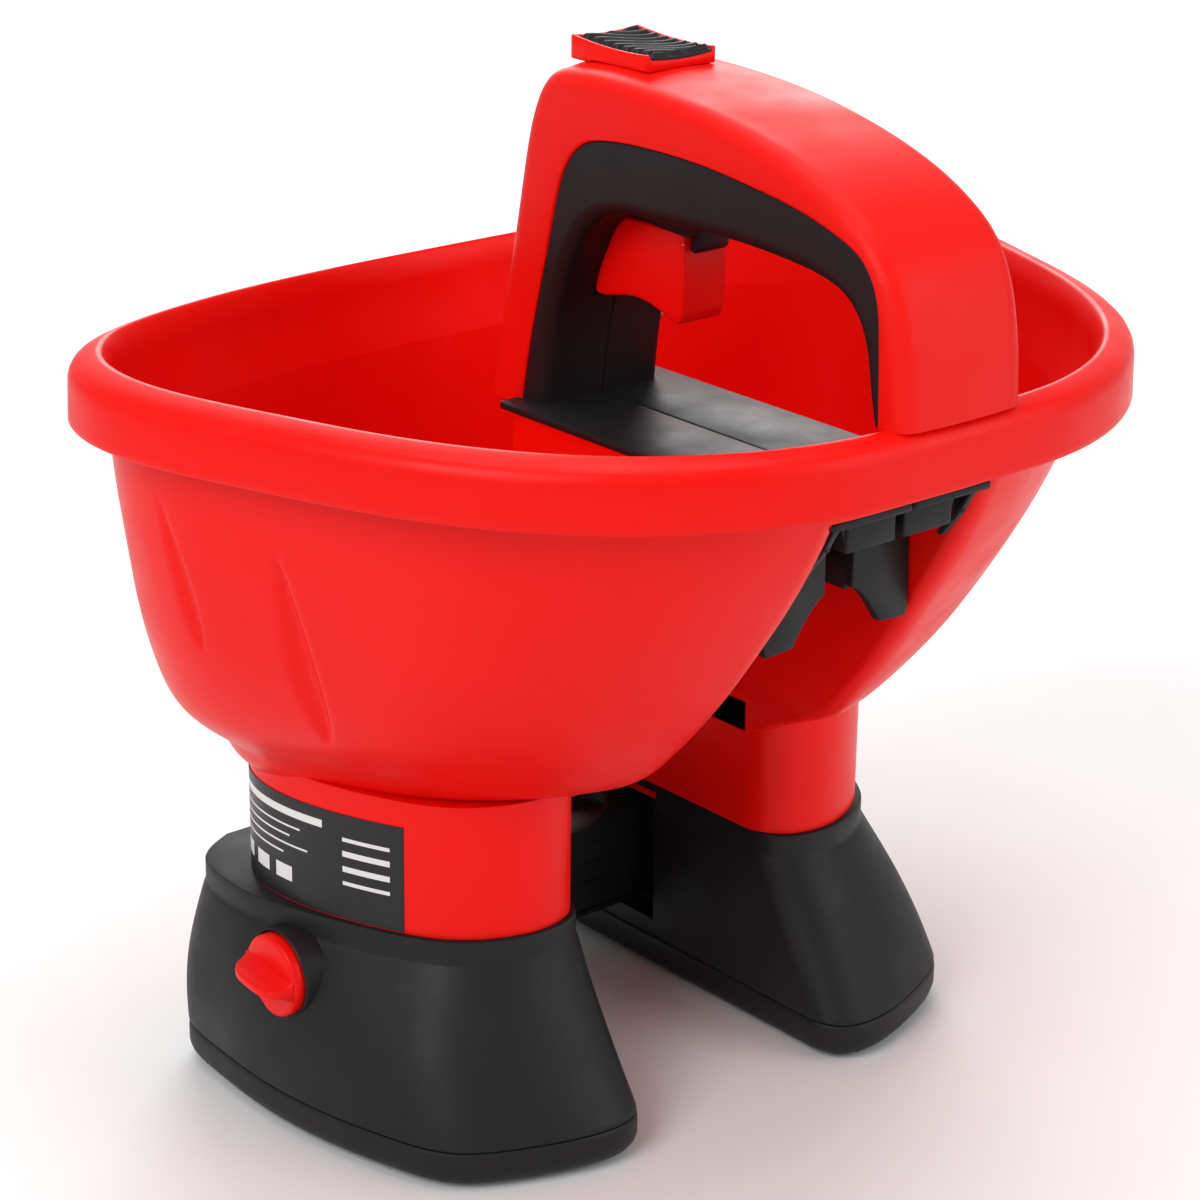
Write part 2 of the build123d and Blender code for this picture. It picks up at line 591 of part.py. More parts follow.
with BuildPart() as knob_ring:
    with Locations((knob_face + 2.6, *knob_centre)):
        Cylinder(knob_radius + 0.4, 5, rotation=(0, 90, 0))
        Cylinder(knob_radius - 1.5, 10, rotation=(0, 90, 0), mode=Mode.SUBTRACT)
finish(knob_ring.part, "knob_ring")

with BuildPart() as potentiometer:
    with Locations((-97, *knob_centre)):
        Box(7, 18, 15.6)
    with Locations((-102, *knob_centre)):
        Cylinder(4.1, 5, rotation=(0, 90, 0))
    with Locations((-100, *knob_centre)):
        Cylinder(3.05, 20, rotation=(0, 90, 0), mode=Mode.SUBTRACT)
finish(potentiometer.part, "potentiometer")

with BuildPart() as control_board:
    with Locations((-92.6, 47, 42)):
        Box(1.6, 44, 30)
    for y, z, size in ((34, 50, 7), (60, 50, 9), (58, 36, 6), (36, 36, 8)):
        with Locations((-90.4, y, z)):
            Box(3, size, size)
finish(control_board.part, "control_board")

# ---- batteries, tray, contacts and door ----------------------------------------------------------------------
cell_radius, cell_length = 7.1, 49.5
tray_back = 99.0
cell_pitch = 15.6
tray_half = (2 * cell_pitch + 3) / 2
tray_middle = (x0 + x1) / 2
cell_places = [(tray_middle + (column - 0.5) * cell_pitch, (z0 + z1) / 2 + (row - 0.5) * cell_pitch)
               for row in (0, 1) for column in (0, 1)]
tray_front = tray_back - cell_length - 8
with BuildPart() as battery_tray:
    with Locations((tray_middle, (tray_front + tray_back) / 2, (z0 + z1) / 2)):
        Box(2 * tray_half + 3, tray_back - tray_front, 2 * tray_half + 3)
        with Locations((0, 2, 0)):
            Box(2 * tray_half, tray_back - tray_front, 2 * tray_half, mode=Mode.SUBTRACT)
finish(battery_tray.part, "battery_tray")

with BuildPart() as battery_contacts:
    for x, z in cell_places:
        with Locations((x, tray_front + 2.7, z)):
            Box(11, 0.8, 11)
        with Locations((x, tray_front + 4, z)):
            Cone(2, 3.5, 2, rotation=(90, 0, 0))
finish(battery_contacts.part, "battery_contacts")

for index, (x, z) in enumerate(cell_places, start=1):
    with BuildPart() as cell:
        with Locations((x, tray_front + 5.4 + cell_length / 2, z)):
            Cylinder(cell_radius, cell_length - 1.6, rotation=(90, 0, 0))
        fillet(cell.edges().filter_by(GeomType.CIRCLE), 0.8)
        with Locations((x, tray_front + 5.2 + cell_length, z)):
            Cylinder(2.7, 2.4, rotation=(90, 0, 0))
    finish(cell.part, f"battery_cell_{index}")

with BuildPart() as battery_door:
    add(feet[-1].part)
    mirror(battery_door.part, about=Plane.YZ, mode=Mode.REPLACE)
    with Locations((tray_middle, foot_back - 4, (door_hinge[1] + z1 - clearance) / 2)):
        Box(x1 - x0 - 2 * clearance, 14, z1 - clearance - door_hinge[1], mode=Mode.INTERSECT)
    with Locations((tray_middle, door_hinge[0], door_hinge[1])):
        Cylinder(2.1, x1 - x0 - 2 * clearance, rotation=(0, 90, 0))
        Cylinder(door_pin_radius + 0.05, x1 - x0, rotation=(0, 90, 0), mode=Mode.SUBTRACT)
    with Locations((tray_middle, foot_back - 5.5, z1 - 3)):
        Box(10, 5, 1.6)
    with Locations((tray_middle, foot_back - 1.6, z1 - 6)):
        Box(14, 1.6, 3)
finish(battery_door.part, "battery_door")

with BuildPart() as door_pin:
    with Locations((tray_middle, door_hinge[0], door_hinge[1])):
        Cylinder(door_pin_radius, x1 - x0 + 4, rotation=(0, 90, 0))
finish(door_pin.part, "door_pin")

# ---- label plate on the left neck ------------------------------------------------------------------------------
with BuildPart() as label_plate:
    extrude(side_sketch(Plane.XY.offset(71), shifted(neck_outline, -0.35), notch_half_width, 102, -1),
            amount=33, dir=(0, 0, 1))
    extrude(side_sketch(Plane.XY.offset(70), neck_outline, notch_half_width, 101.9, -1),
            amount=36, dir=(0, 0, 1), mode=Mode.SUBTRACT)
    with Locations((-102, 42, 87)):
        Box(30, 61, 40, mode=Mode.INTERSECT)
finish(label_plate.part, "label_plate")
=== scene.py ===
"""Looks of the hand-held battery spreader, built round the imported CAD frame.

Lengths are millimetres until a mesh is made, in the frame of the part: X = 0 is the plane of symmetry, +Y is the
throwing direction and Z = 0 is the floor.
"""
import math

import bmesh
import bpy
import numpy as np
from mathutils import Matrix, Vector


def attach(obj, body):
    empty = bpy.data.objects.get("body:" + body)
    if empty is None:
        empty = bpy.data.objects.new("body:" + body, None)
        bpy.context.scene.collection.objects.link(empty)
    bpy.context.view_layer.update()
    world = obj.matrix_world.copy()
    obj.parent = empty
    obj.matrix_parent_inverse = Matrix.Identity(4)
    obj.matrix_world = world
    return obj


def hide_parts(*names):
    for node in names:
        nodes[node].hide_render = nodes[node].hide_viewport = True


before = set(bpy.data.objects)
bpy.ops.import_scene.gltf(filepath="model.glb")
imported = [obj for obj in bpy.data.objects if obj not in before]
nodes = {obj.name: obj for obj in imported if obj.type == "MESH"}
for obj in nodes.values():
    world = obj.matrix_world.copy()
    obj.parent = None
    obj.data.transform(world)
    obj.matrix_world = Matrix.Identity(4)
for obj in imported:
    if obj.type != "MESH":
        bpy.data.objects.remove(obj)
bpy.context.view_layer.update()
MM = 0.001


# ---- curves and grids ----------------------------------------------------------------------------------

def spline(points, count, start=None, end=None):
    """Points at even spacing on the cubic curve through the given ones, with optional end directions."""
    p = np.array(points, float)
    h = np.linalg.norm(np.diff(p, axis=0), axis=1)
    n = len(p)
    a, b = np.zeros((n, n)), np.zeros_like(p)
    for i in range(1, n - 1):
        a[i, i - 1:i + 2] = 1 / h[i - 1], 2 * (1 / h[i - 1] + 1 / h[i]), 1 / h[i]
        b[i] = 3 * ((p[i] - p[i - 1]) / h[i - 1] ** 2 + (p[i + 1] - p[i]) / h[i] ** 2)
    for row, near, direction in ((0, 1, start), (n - 1, n - 2, end)):
        a[row, row] = 1 if direction is not None else 2
        if direction is None:
            a[row, near] = 1
            b[row] = 3 * (p[max(row, near)] - p[min(row, near)]) / h[min(row, near)]
        else:
            b[row] = direction
    slope = np.linalg.solve(a, b)
    dense = []
    for i in range(n - 1):
        t = np.linspace(0, 1, 25)[:, None]
        dense.append((2 * t ** 3 - 3 * t ** 2 + 1) * p[i] + (t ** 3 - 2 * t ** 2 + t) * h[i] * slope[i]
                     + (3 * t ** 2 - 2 * t ** 3) * p[i + 1] + (t ** 3 - t ** 2) * h[i] * slope[i + 1])
    return even(np.concatenate(dense), count)


def along(points):
    """Distance of each point of a polyline from its start."""
    return np.concatenate([[0], np.cumsum(np.linalg.norm(np.diff(points, axis=0), axis=1))])


def even(points, count, low=0.0, high=None):
    """A polyline sampled evenly between two distances along it."""
    points = np.asarray(points, float)
    s = along(points)
    want = np.linspace(low, s[-1] if high is None else high, count)
    return np.stack([np.interp(want, s, points[:, k]) for k in range(points.shape[1])], -1)


def rounded(corners, radii, steps=6):
    """A closed outline whose corners are arcs of the given radii."""
    c = np.array(corners, float)
    radii = np.broadcast_to(radii, len(c))
    out = []
    for i, r in enumerate(radii):
        back, ahead = c[i - 1] - c[i], c[(i + 1) % len(c)] - c[i]
        lb, la = np.linalg.norm(back), np.linalg.norm(ahead)
        back, ahead = back / lb, ahead / la
        half = math.acos(np.clip(back @ ahead, -1, 1)) / 2
        d = min(r / math.tan(half), lb * 0.49, la * 0.49)
        if r <= 0 or half > 1.5:
            out.append(c[i])
            continue
        w = math.sin(half)
        for t in np.linspace(0, 1, steps):
            k = np.array([(1 - t) ** 2, 2 * w * t * (1 - t), t ** 2])
            out.append((k[0] * (c[i] + back * d) + k[1] * c[i] + k[2] * (c[i] + ahead * d)) / k.sum())
    return np.array(out)


def inset(outline, distance):
    """A closed anticlockwise outline moved inwards."""
    p = np.asarray(outline, float)
    run = np.roll(p, -1, 0) - np.roll(p, 1, 0)
    run /= np.linalg.norm(run, axis=1)[:, None] + 1e-9
    return p + np.stack([-run[:, 1], run[:, 0]], -1) * distance


def smooth(x):
    x = np.clip(x, 0, 1)
    return x * x * (3 - 2 * x)


# ---- mesh making ---------------------------------------------------------------------------------------

def rings_mesh(bm, rings, cap_first=True, cap_last=True, closed=True):
    """Skins a list of rings of equal length, in mm, with quads."""
    layers = [[bm.verts.new(Vector(p) * MM) for p in ring] for ring in rings]
    for lower, upper in zip(layers, layers[1:]):
        n = len(lower)
        for i in range(n if closed else n - 1):
            j = (i + 1) % n
            bm.faces.new((lower[i], lower[j], upper[j], upper[i]))
    if closed and cap_first:
        bm.faces.new(layers[0][::-1])
    if closed and cap_last:
        bm.faces.new(layers[-1])
    return layers


def slab(bm, outline, axis, low, high, edge=0.5, steps=3):
    """A plate with rounded edges: an outline pulled along an axis. The outline holds the two other axes in order."""
    p = np.asarray(outline, float)
    area = np.sum(p[:, 0] * np.roll(p[:, 1], -1) - p[:, 1] * np.roll(p[:, 0], -1))
    if area < 0:
        p = p[::-1]
    levels = [(low + edge * (1 - math.cos(a)), edge * (1 - math.sin(a)))
              for a in np.linspace(0, math.pi / 2, steps)] if edge else [(low, 0)]
    levels += [(low + high - at, grow) for at, grow in levels[::-1]]
    rings = []
    for at, grow in levels:
        q = inset(p, grow)
        rings.append(np.insert(q, axis, at, axis=1))
    rings_mesh(bm, rings)


def add_box(bm, low, high, edge=0.5, corner=1.0):
    """A moulded block with rounded upright corners and rounded top and bottom edges."""
    x0, y0, z0 = low
    x1, y1, z1 = high
    slab(bm, rounded([(x0, y0), (x1, y0), (x1, y1), (x0, y1)], corner, 4), 2, z0, z1, edge)


def lathe(bm, profile, centre, axis, segments=64):
    """Turns a profile of (radius, height) about an axis through a centre."""
    rings = []
    for r, h in profile:
        a = np.linspace(0, 2 * math.pi, segments, endpoint=False)
        u, v = r * np.cos(a), r * np.sin(a)
        p = np.zeros((segments, 3))
        p[:, (axis + 1) % 3], p[:, (axis + 2) % 3], p[:, axis] = u, v, h
        rings.append(p + np.array(centre))
    rings_mesh(bm, rings)


def piece(name, bm, material, body, replaces=(), sharp=35, weighted=False):
    """Turns a bmesh into a named piece that rides on its body."""
    bmesh.ops.remove_doubles(bm, verts=bm.verts, dist=0.00001)
    bmesh.ops.dissolve_degenerate(bm, edges=bm.edges, dist=0.00001)
    bmesh.ops.recalc_face_normals(bm, faces=bm.faces)
    mesh = bpy.data.meshes.new(name)
    bm.to_mesh(mesh)
    bm.free()
    mesh.shade_smooth()
    mesh.set_sharp_from_angle(angle=math.radians(sharp))
    obj = bpy.data.objects.new(name, mesh)
    bpy.context.scene.collection.objects.link(obj)
    for m in (material if isinstance(material, (list, tuple)) else [material]):
        mesh.materials.append(m)
    if weighted:
        mod = obj.modifiers.new("even_shading", "WEIGHTED_NORMAL")
        mod.keep_sharp = True
    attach(obj, body)
    if replaces:
        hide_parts(*replaces)
    return obj


def carve(obj, cutter_bm, sharp=35):
    """Cuts a closed cutter out of a piece."""
    bmesh.ops.recalc_face_normals(cutter_bm, faces=cutter_bm.faces)
    cutter_mesh = bpy.data.meshes.new("cutter")
    cutter_bm.to_mesh(cutter_mesh)
    cutter_bm.free()
    cutter = bpy.data.objects.new("cutter", cutter_mesh)
    bpy.context.scene.collection.objects.link(cutter)
    mod = obj.modifiers.new("cut", "BOOLEAN")
    mod.operation, mod.solver, mod.object = "DIFFERENCE", "EXACT", cutter
    bpy.context.view_layer.update()
    result = bpy.data.meshes.new_from_object(obj.evaluated_get(bpy.context.evaluated_depsgraph_get()))
    obj.modifiers.remove(mod)
    old = obj.data
    obj.data = result
    result.name = old.name
    bpy.data.meshes.remove(old)
    bpy.data.objects.remove(cutter)
    bpy.data.meshes.remove(cutter_mesh)
    result.shade_smooth()
    result.set_sharp_from_angle(angle=math.radians(sharp))
    mod = obj.modifiers.new("even_shading", "WEIGHTED_NORMAL")
    mod.keep_sharp = True


# ---- materials -----------------------------------------------------------------------------------------

def plastic(name, colour, roughness, grain=0.03, grain_scale=2600.0, mottle=0.04, mottle_scale=18.0,
            rough_spread=0.08, **sockets):
    """Moulded plastic: a fine etched grain, a slow drift of colour and patches of different polish."""
    m = bpy.data.materials.new(name)
    m.use_nodes = True
    tree = m.node_tree
    shader = tree.nodes["Principled BSDF"]
    for key, value in sockets.items():
        shader.inputs[key.replace("_", " ")].default_value = value
    place = tree.nodes.new("ShaderNodeTexCoord")

    def noise(scale, detail, rough=0.5):
        n = tree.nodes.new("ShaderNodeTexNoise")
        n.inputs["Scale"].default_value = scale
        n.inputs["Detail"].default_value = detail
        n.inputs["Roughness"].default_value = rough
        tree.links.new(place.outputs["Object"], n.inputs["Vector"])
        return n.outputs["Fac"]

    def spread(source, low, high):
        r = tree.nodes.new("ShaderNodeMapRange")
        r.inputs["From Min"].default_value, r.inputs["From Max"].default_value = 0.3, 0.7
        r.inputs["To Min"].default_value, r.inputs["To Max"].default_value = low, high
        tree.links.new(source, r.inputs["Value"])
        return r.outputs["Result"]

    drift = noise(mottle_scale, 3.0)
    mix = tree.nodes.new("ShaderNodeMix")
    mix.data_type = "RGBA"
    mix.inputs[6].default_value = [*(c * (1 - mottle) for c in colour), 1]
    mix.inputs[7].default_value = [*(min(1, c * (1 + mottle) + mottle * 0.02) for c in colour), 1]
    tree.links.new(drift, mix.inputs[0])
    tree.links.new(mix.outputs[2], shader.inputs["Base Color"])
    polish = noise(mottle_scale * 2.7, 5.0, 0.6)
    tree.links.new(spread(polish, roughness - rough_spread, roughness + rough_spread),
                   shader.inputs["Roughness"])
    bump = tree.nodes.new("ShaderNodeBump")
    bump.inputs["Strength"].default_value = grain
    bump.inputs["Distance"].default_value = 0.0004
    tree.links.new(noise(grain_scale, 2.0), bump.inputs["Height"])
    tree.links.new(bump.outputs["Normal"], shader.inputs["Normal"])
    return m


red = plastic("red_plastic", (0.86, 0.004, 0.0015), 0.37, grain=0.02, Specular_IOR_Level=0.17)
red_grip = plastic("red_etched", (0.84, 0.005, 0.0020), 0.43, grain=0.10, grain_scale=1500.0,
                   Specular_IOR_Level=0.17)
black = plastic("black_plastic", (0.010, 0.010, 0.011), 0.50, grain=0.14, grain_scale=1400.0, mottle=0.10,
                Specular_IOR_Level=0.26)
liner_black = plastic("liner_plastic", (0.008, 0.008, 0.009), 0.50, grain=0.12, grain_scale=1400.0,
                      mottle=0.10, Specular_IOR_Level=0.26)
pad_rubber = plastic("pad_rubber", (0.008, 0.008, 0.009), 0.42, grain=0.10, mottle=0.12, Specular_IOR_Level=0.3)
grey = plastic("grey_plastic", (0.20, 0.20, 0.21), 0.45, grain=0.08)
rubber = plastic("foot_rubber", (0.030, 0.030, 0.031), 0.75, grain=0.2, grain_scale=900.0)
steel = plastic("zinc_steel", (0.62, 0.62, 0.63), 0.30, grain=0.05, grain_scale=700.0, rough_spread=0.12,
                Metallic=1.0)
can = plastic("motor_can", (0.55, 0.55, 0.56), 0.36, grain=0.04, rough_spread=0.1, Metallic=1.0)
brass = plastic("brass", (0.78, 0.52, 0.22), 0.32, grain=0.04, rough_spread=0.1, Metallic=1.0)
board_green = plastic("circuit_board", (0.02, 0.16, 0.06), 0.4, grain=0.2, grain_scale=500.0, mottle=0.3,
                      mottle_scale=160.0)
cell_wrap = plastic("battery_sleeve", (0.02, 0.035, 0.09), 0.28, grain=0.02, mottle=0.1)
label_black = plastic("label_film", (0.014, 0.014, 0.016), 0.40, grain=0.02, Specular_IOR_Level=0.3)
label_white = plastic("label_print_pale", (0.75, 0.75, 0.74), 0.42, grain=0.02)

# ---- hopper ----------------------------------------------------------------------------------------------
WALL = 2.5
# The bowl's plan, right half from the front: fraction of the half width, and of the run from the widest
# line to the front (negative) or the back.
BOWL_PLAN = [(0, -1), (0.267, -0.988), (0.521, -0.891), (0.709, -0.727), (0.848, -0.497), (0.93, -0.28),
             (1, 0), (0.962, 0.45), (0.88, 0.68), (0.74, 0.83), (0.51, 0.945), (0, 1)]
# Outer levels: height, half width, widest line, front, back.
BOWL_LEVELS = np.array([(102.2, 90, 68, -1.5, 96), (103.2, 96, 67.5, -3.5, 99), (105, 101.5, 67, -7, 102),
                        (108, 106, 66, -12, 104), (118, 114, 63, -33, 106), (130, 128, 60, -45, 108),
                        (145, 137, 57, -57, 109), (165, 143.5, 54, -71, 110), (185, 147.5, 52, -84, 110.5),
                        (215, 152, 50, -99.5, 111.5), (243, 153, 49, -109.5, 113)])
# Half width of the notch by height.
NOTCH = np.array([(100, 38.4), (115, 38.4), (119, 36.9), (125, 34.7), (135, 32.7), (155, 30.6), (185, 28.9),
                  (216, 27.6)])
NOTCH_BACK, NOTCH_TOP, BRIDGE = 36.0, 212.9, 215.8
FUNNEL = (0.0, 70.0)
BOWL_COLUMNS, CORNER_COLUMNS, SIDE_COLUMNS, BACK_COLUMNS = 300, 9, 12, 6


def smooth_levels():
    """The levels as a smooth function of the height."""
    dense = spline(BOWL_LEVELS, 600)
    return lambda z: [np.interp(z, dense[:, 0], dense[:, k]) for k in range(1, 5)]


level_at = smooth_levels()


def bowl_half(half, widest, front, back):
    """Right half of a level's outline, from the back centre to the front centre."""
    points = [(u * half, widest + v * ((widest - front) if v < 0 else (back - widest))) for u, v in BOWL_PLAN]
    return spline(points, 500, start=(1, 0), end=(-1, 0))[::-1]


def front_crossing(outline, x):
    """Distance along a half outline at which its front run reaches a given half width."""
    s = along(outline)
    widest = int(np.argmax(outline[:, 0]))
    return float(np.interp(-x, -outline[widest:, 0], s[widest:]))


def notched_half(outline, half_notch, notch_back, radius):
    """Half outline that turns into the notch: bowl, rounded lip, side of the notch and its back."""
    s_corner = front_crossing(outline, half_notch)
    s = along(outline)
    corner = np.array([np.interp(s_corner, s, outline[:, k]) for k in (0, 1)])
    bowl = even(outline, BOWL_COLUMNS, 0, s_corner - radius)
    first, last = bowl[-1], np.array([half_notch, corner[1] + radius])
    weight = 0.72
    lip = []
    for t in np.linspace(0, 1, CORNER_COLUMNS + 2)[1:-1]:
        k = np.array([(1 - t) ** 2, 2 * weight * t * (1 - t), t ** 2])
        lip.append((k[0] * first + k[1] * corner + k[2] * last) / k.sum())
    side = even([last, (half_notch, notch_back)], SIDE_COLUMNS)
    back = even([(half_notch, notch_back), (0, notch_back)], BACK_COLUMNS)[1:]
    return np.concatenate([bowl, lip, side, back])


def whole_half(outline, split):
    """Half outline without a notch, whose first columns line up with the notched one's."""
    s_split = split(outline)
    bowl = even(outline, BOWL_COLUMNS, 0, s_split)
    front = even(outline, CORNER_COLUMNS + 5, s_split, along(outline)[-1])[1:]
    return np.concatenate([bowl, front])


def mirrored(half, heights):
    """A closed ring from its right half, whose ends lie on X = 0."""
    heights = np.broadcast_to(heights, len(half))
    right = np.column_stack([half, heights])
    left = right[1:-1][::-1] * (-1, 1, 1)
    return np.concatenate([right, left])


# Shallow flutes pressed into the bowl's sides: top and bottom as (y, z), greatest width and depth.
FLUTES = [((46.5, 213), (42, 163), 6.0, 1.9), ((7.5, 204), (13, 138), 9.0, 2.9)]


def pressed(half, z):
    """Moves the side of a half outline inwards where a flute runs."""
    run = np.gradient(half, axis=0)
    run /= np.linalg.norm(run, axis=1)[:, None] + 1e-9
    inward = np.stack([run[:, 1], -run[:, 0]], -1)
    depth = np.zeros(len(half))
    for top, bottom, width, deep in FLUTES:
        t = (top[1] - z) / (top[1] - bottom[1])
        if not 0 < t < 1:
            continue
        belly = (t ** 1.2 * (1 - t) ** 0.7) / 0.335
        y = top[0] + (bottom[0] - top[0]) * t
        u = (half[:, 1] - (y - width * belly * 0.35)) / (width * max(belly, 0.05))
        gentle = smooth(1 - u) * smooth((u + 0.45) / 0.45)
        side = half[:, 0] > 60
        depth += deep * belly ** 0.6 * gentle * side
    return half + inward * depth[:, None]


def lip_radius(z):
    return float(np.interp(z, (102, 118, 216), (4, 7, 7)))


def build_hopper():
    bm = bmesh.new()
    split_outline = bowl_half(*level_at(BRIDGE))
    split_x = float(even(split_outline, 2, 0, front_crossing(split_outline, 27.6) - lip_radius(BRIDGE))[-1][0])

    def split(outline):
        return front_crossing(outline, split_x)

    def lower_ring(z, gap, floor):
        """Ring of the notched part. Its notch side stops lower than its bowl side."""
        half, widest, front, back = level_at(z)
        outline = bowl_half(half - gap, widest, front + gap, back - gap)
        width = float(np.interp(z, NOTCH[:, 0], NOTCH[:, 1]))
        ring = notched_half(outline, width + gap, NOTCH_BACK + gap, lip_radius(z) + gap * 0.2)
        if gap == 0:
            ring[:BOWL_COLUMNS] = pressed(ring[:BOWL_COLUMNS], z)
        share = (z - floor) / (BRIDGE - floor)
        heights = np.full(len(ring), float(z))
        edge = BOWL_COLUMNS + CORNER_COLUMNS
        fall = smooth((np.arange(len(ring)) - BOWL_COLUMNS) / CORNER_COLUMNS)
        fall[edge:] = 1
        heights -= (BRIDGE - NOTCH_TOP) * fall * share
        return mirrored(ring, heights)

    def upper_ring(z, half, widest, front, back):
        return mirrored(whole_half(bowl_half(half, widest, front, back), split), z)

    floor_out, floor_in = float(BOWL_LEVELS[0, 0]), 110.5
    outer_heights = np.concatenate([[102.2, 102.5, 102.9, 103.4, 104, 105, 106.2, 107.5], np.arange(109, 118, 1.6),
                                    np.linspace(118, BRIDGE, 50)])
    inner_heights = np.concatenate([np.linspace(floor_in, 118, 6), np.linspace(122, BRIDGE, 22)])
    outer = [lower_ring(z, 0, floor_out) for z in outer_heights]
    inner = [lower_ring(z, WALL, floor_in) for z in inner_heights]
    first = rings_mesh(bm, outer, cap_first=False, cap_last=False)
    second = rings_mesh(bm, inner, cap_first=False, cap_last=False)

    band = []
    for z in np.linspace(BRIDGE, 238.0, 9):
        band.append(upper_ring(z, *level_at(z)))
    # Rim: height, half width, front, back, from under the skirt over the roll to the inner lip.
    rim = [(238.3, 156, -112.3, 114.2), (238.4, 160.6, -115.2, 116.0), (237.4, 162.0, -116.0, 116.6),
           (232, 162.2, -116.1, 116.5), (226, 162.7, -116.2, 116.0), (225.0, 163.0, -116.4, 116.1),
           (224.7, 163.7, -117.0, 116.7), (224.8, 164.6, -117.7, 117.3), (225.4, 165.0, -118.0, 117.5),
           (227.0, 164.95, -117.95, 117.5), (232, 164.75, -117.9, 117.45), (237.4, 164.5, -117.8, 117.35),
           (239.2, 164.0, -117.5, 117.1), (240.7, 163.0, -116.9, 116.7), (241.8, 161.6, -116.0, 116.2),
           (242.6, 159.8, -114.8, 115.6), (243.2, 157.6, -113.2, 114.9), (243.7, 155.9, -111.8, 114.2),
           (243.9, 154.9, -110.9, 113.6), (243.7, 154.2, -110.2, 113.1), (243.0, 153.6, -109.7, 112.7),
           (241.6, 153.0, -109.2, 112.3), (238.0, 151.6, -107.9, 111.4)]
    for z, half, front, back in rim:
        band.append(upper_ring(z, half, 49, front, back))
    bottom_level = np.array(level_at(BRIDGE))
    lip_height, lip_level = 238.0, np.array((151.6, 49, -107.9, 111.4))
    low_inner = bottom_level + np.array((-WALL, 0, WALL, -WALL))
    for t in np.linspace(0, 1, 9)[1:]:
        z = lip_height + (BRIDGE - lip_height) * t
        band.append(upper_ring(z, *(lip_level + (low_inner - lip_level) * smooth(t * 0.5) * 2)))
    third = rings_mesh(bm, band, cap_first=False, cap_last=False)

    def strip(a, b, start, stop):
        for i in range(start, stop):
            for sign in (1, -1):
                n, m = len(a), len(b)
                i0, i1 = (i, i + 1) if sign > 0 else ((n - i) % n, (n - i - 1) % n)
                j0, j1 = (i, i + 1) if sign > 0 else ((m - i) % m, (m - i - 1) % m)
                bm.faces.new((a[i0], a[i1], b[j1], b[j0]))

    notch_half = len(first[-1]) // 2
    band_half = len(third[0]) // 2
    strip(first[-1], second[-1], BOWL_COLUMNS - 1, notch_half)
    strip(third[0], third[-1], BOWL_COLUMNS - 1, band_half)

    def floor(ring, radius, z):
        """Closes a floor round the outlet hole and returns the hole's ring."""
        count = 64
        hole = [bm.verts.new(Vector((FUNNEL[0] + radius * math.cos(a), FUNNEL[1] + radius * math.sin(a), z)) * MM)
                for a in np.linspace(0, 2 * math.pi, count, endpoint=False)]
        edges = [bm.edges.get((ring[i], ring[(i + 1) % len(ring)])) for i in range(len(ring))]
        edges += [bm.edges.new((hole[i], hole[(i + 1) % count])) for i in range(count)]
        bmesh.ops.triangle_fill(bm, use_beauty=True, use_dissolve=False, edges=edges)
        return hole

    def cone(ring, steps):
        for radius, z in steps:
            n = len(ring)
            nxt = [bm.verts.new(Vector((FUNNEL[0] + radius * math.cos(a), FUNNEL[1] + radius * math.sin(a), z)) * MM)
                   for a in np.linspace(0, 2 * math.pi, n, endpoint=False)]
            for i in range(n):
                j = (i + 1) % n
                bm.faces.new((ring[i], ring[j], nxt[j], nxt[i]))
            ring = nxt
        return ring

    under = floor(first[0], 22.5, floor_out)
    inside = floor(second[0], 24.0, floor_in)
    under = cone(under, [(20.5, 101.4), (18.6, 99.6), (17.2, 97), (16.3, 95), (15.7, 94.2), (15, 94)])
    inside = cone(inside, [(22.6, 109.6), (12, 98), (11.2, 97), (11, 96), (11, 94.6), (11.6, 94)])
    for i in range(len(under)):
        j = (i + 1) % len(under)
        bm.faces.new((under[i], under[j], inside[j], inside[i]))

    for side in (-1, 1):
        build_neck(bm, side)
    # Conduit of the flow rod and the seat of the handle leg behind the notch.
    add_box(bm, (-6, 34, 112), (6, 49, 212.8), edge=0.3, corner=2)
    add_box(bm, (-22, 38, 206.9), (22, 58, 212.8), edge=0.8, corner=3)
    return piece("hopper_shell", bm, red, "body", ["hopper"], sharp=40)


# Outline of the right neck and foot, from the inner front corner round the outside to the back.
NECK = [(38.4, -2.5), (47, -8), (58.7, -10.3), (71.5, -7), (84, 1.5), (92.5, 14), (101.5, 36), (105.5, 58), (102.5, 76),
        (93, 88.5), (77, 98)]
NECK_BACK, NECK_TOP, NECK_CORNER = 99.0, 112.0, 9.0
FOOT_LOW = [(38.4, -28), (41.5, -36), (49, -40.2), (62, -39.8), (84, -32.5), (102, -21), (110, -4), (117, 24),
            (119.5, 54), (118, 80), (112.5, 100), (98, 107.5)]
FOOT_HIGH = [(38.4, 0), (41, -6), (47, -10.5), (58.7, -12.5), (73, -9), (87, 1), (95, 14), (105, 38), (112, 62),
             (112.5, 79), (107.5, 96), (93, 105.5)]
OUTER_COLUMNS = 90
FOOT_JOINT, COLLAR, FOOT_TOP, FOOT_BACK = 13.4, 61.6, 69.3, 107.5


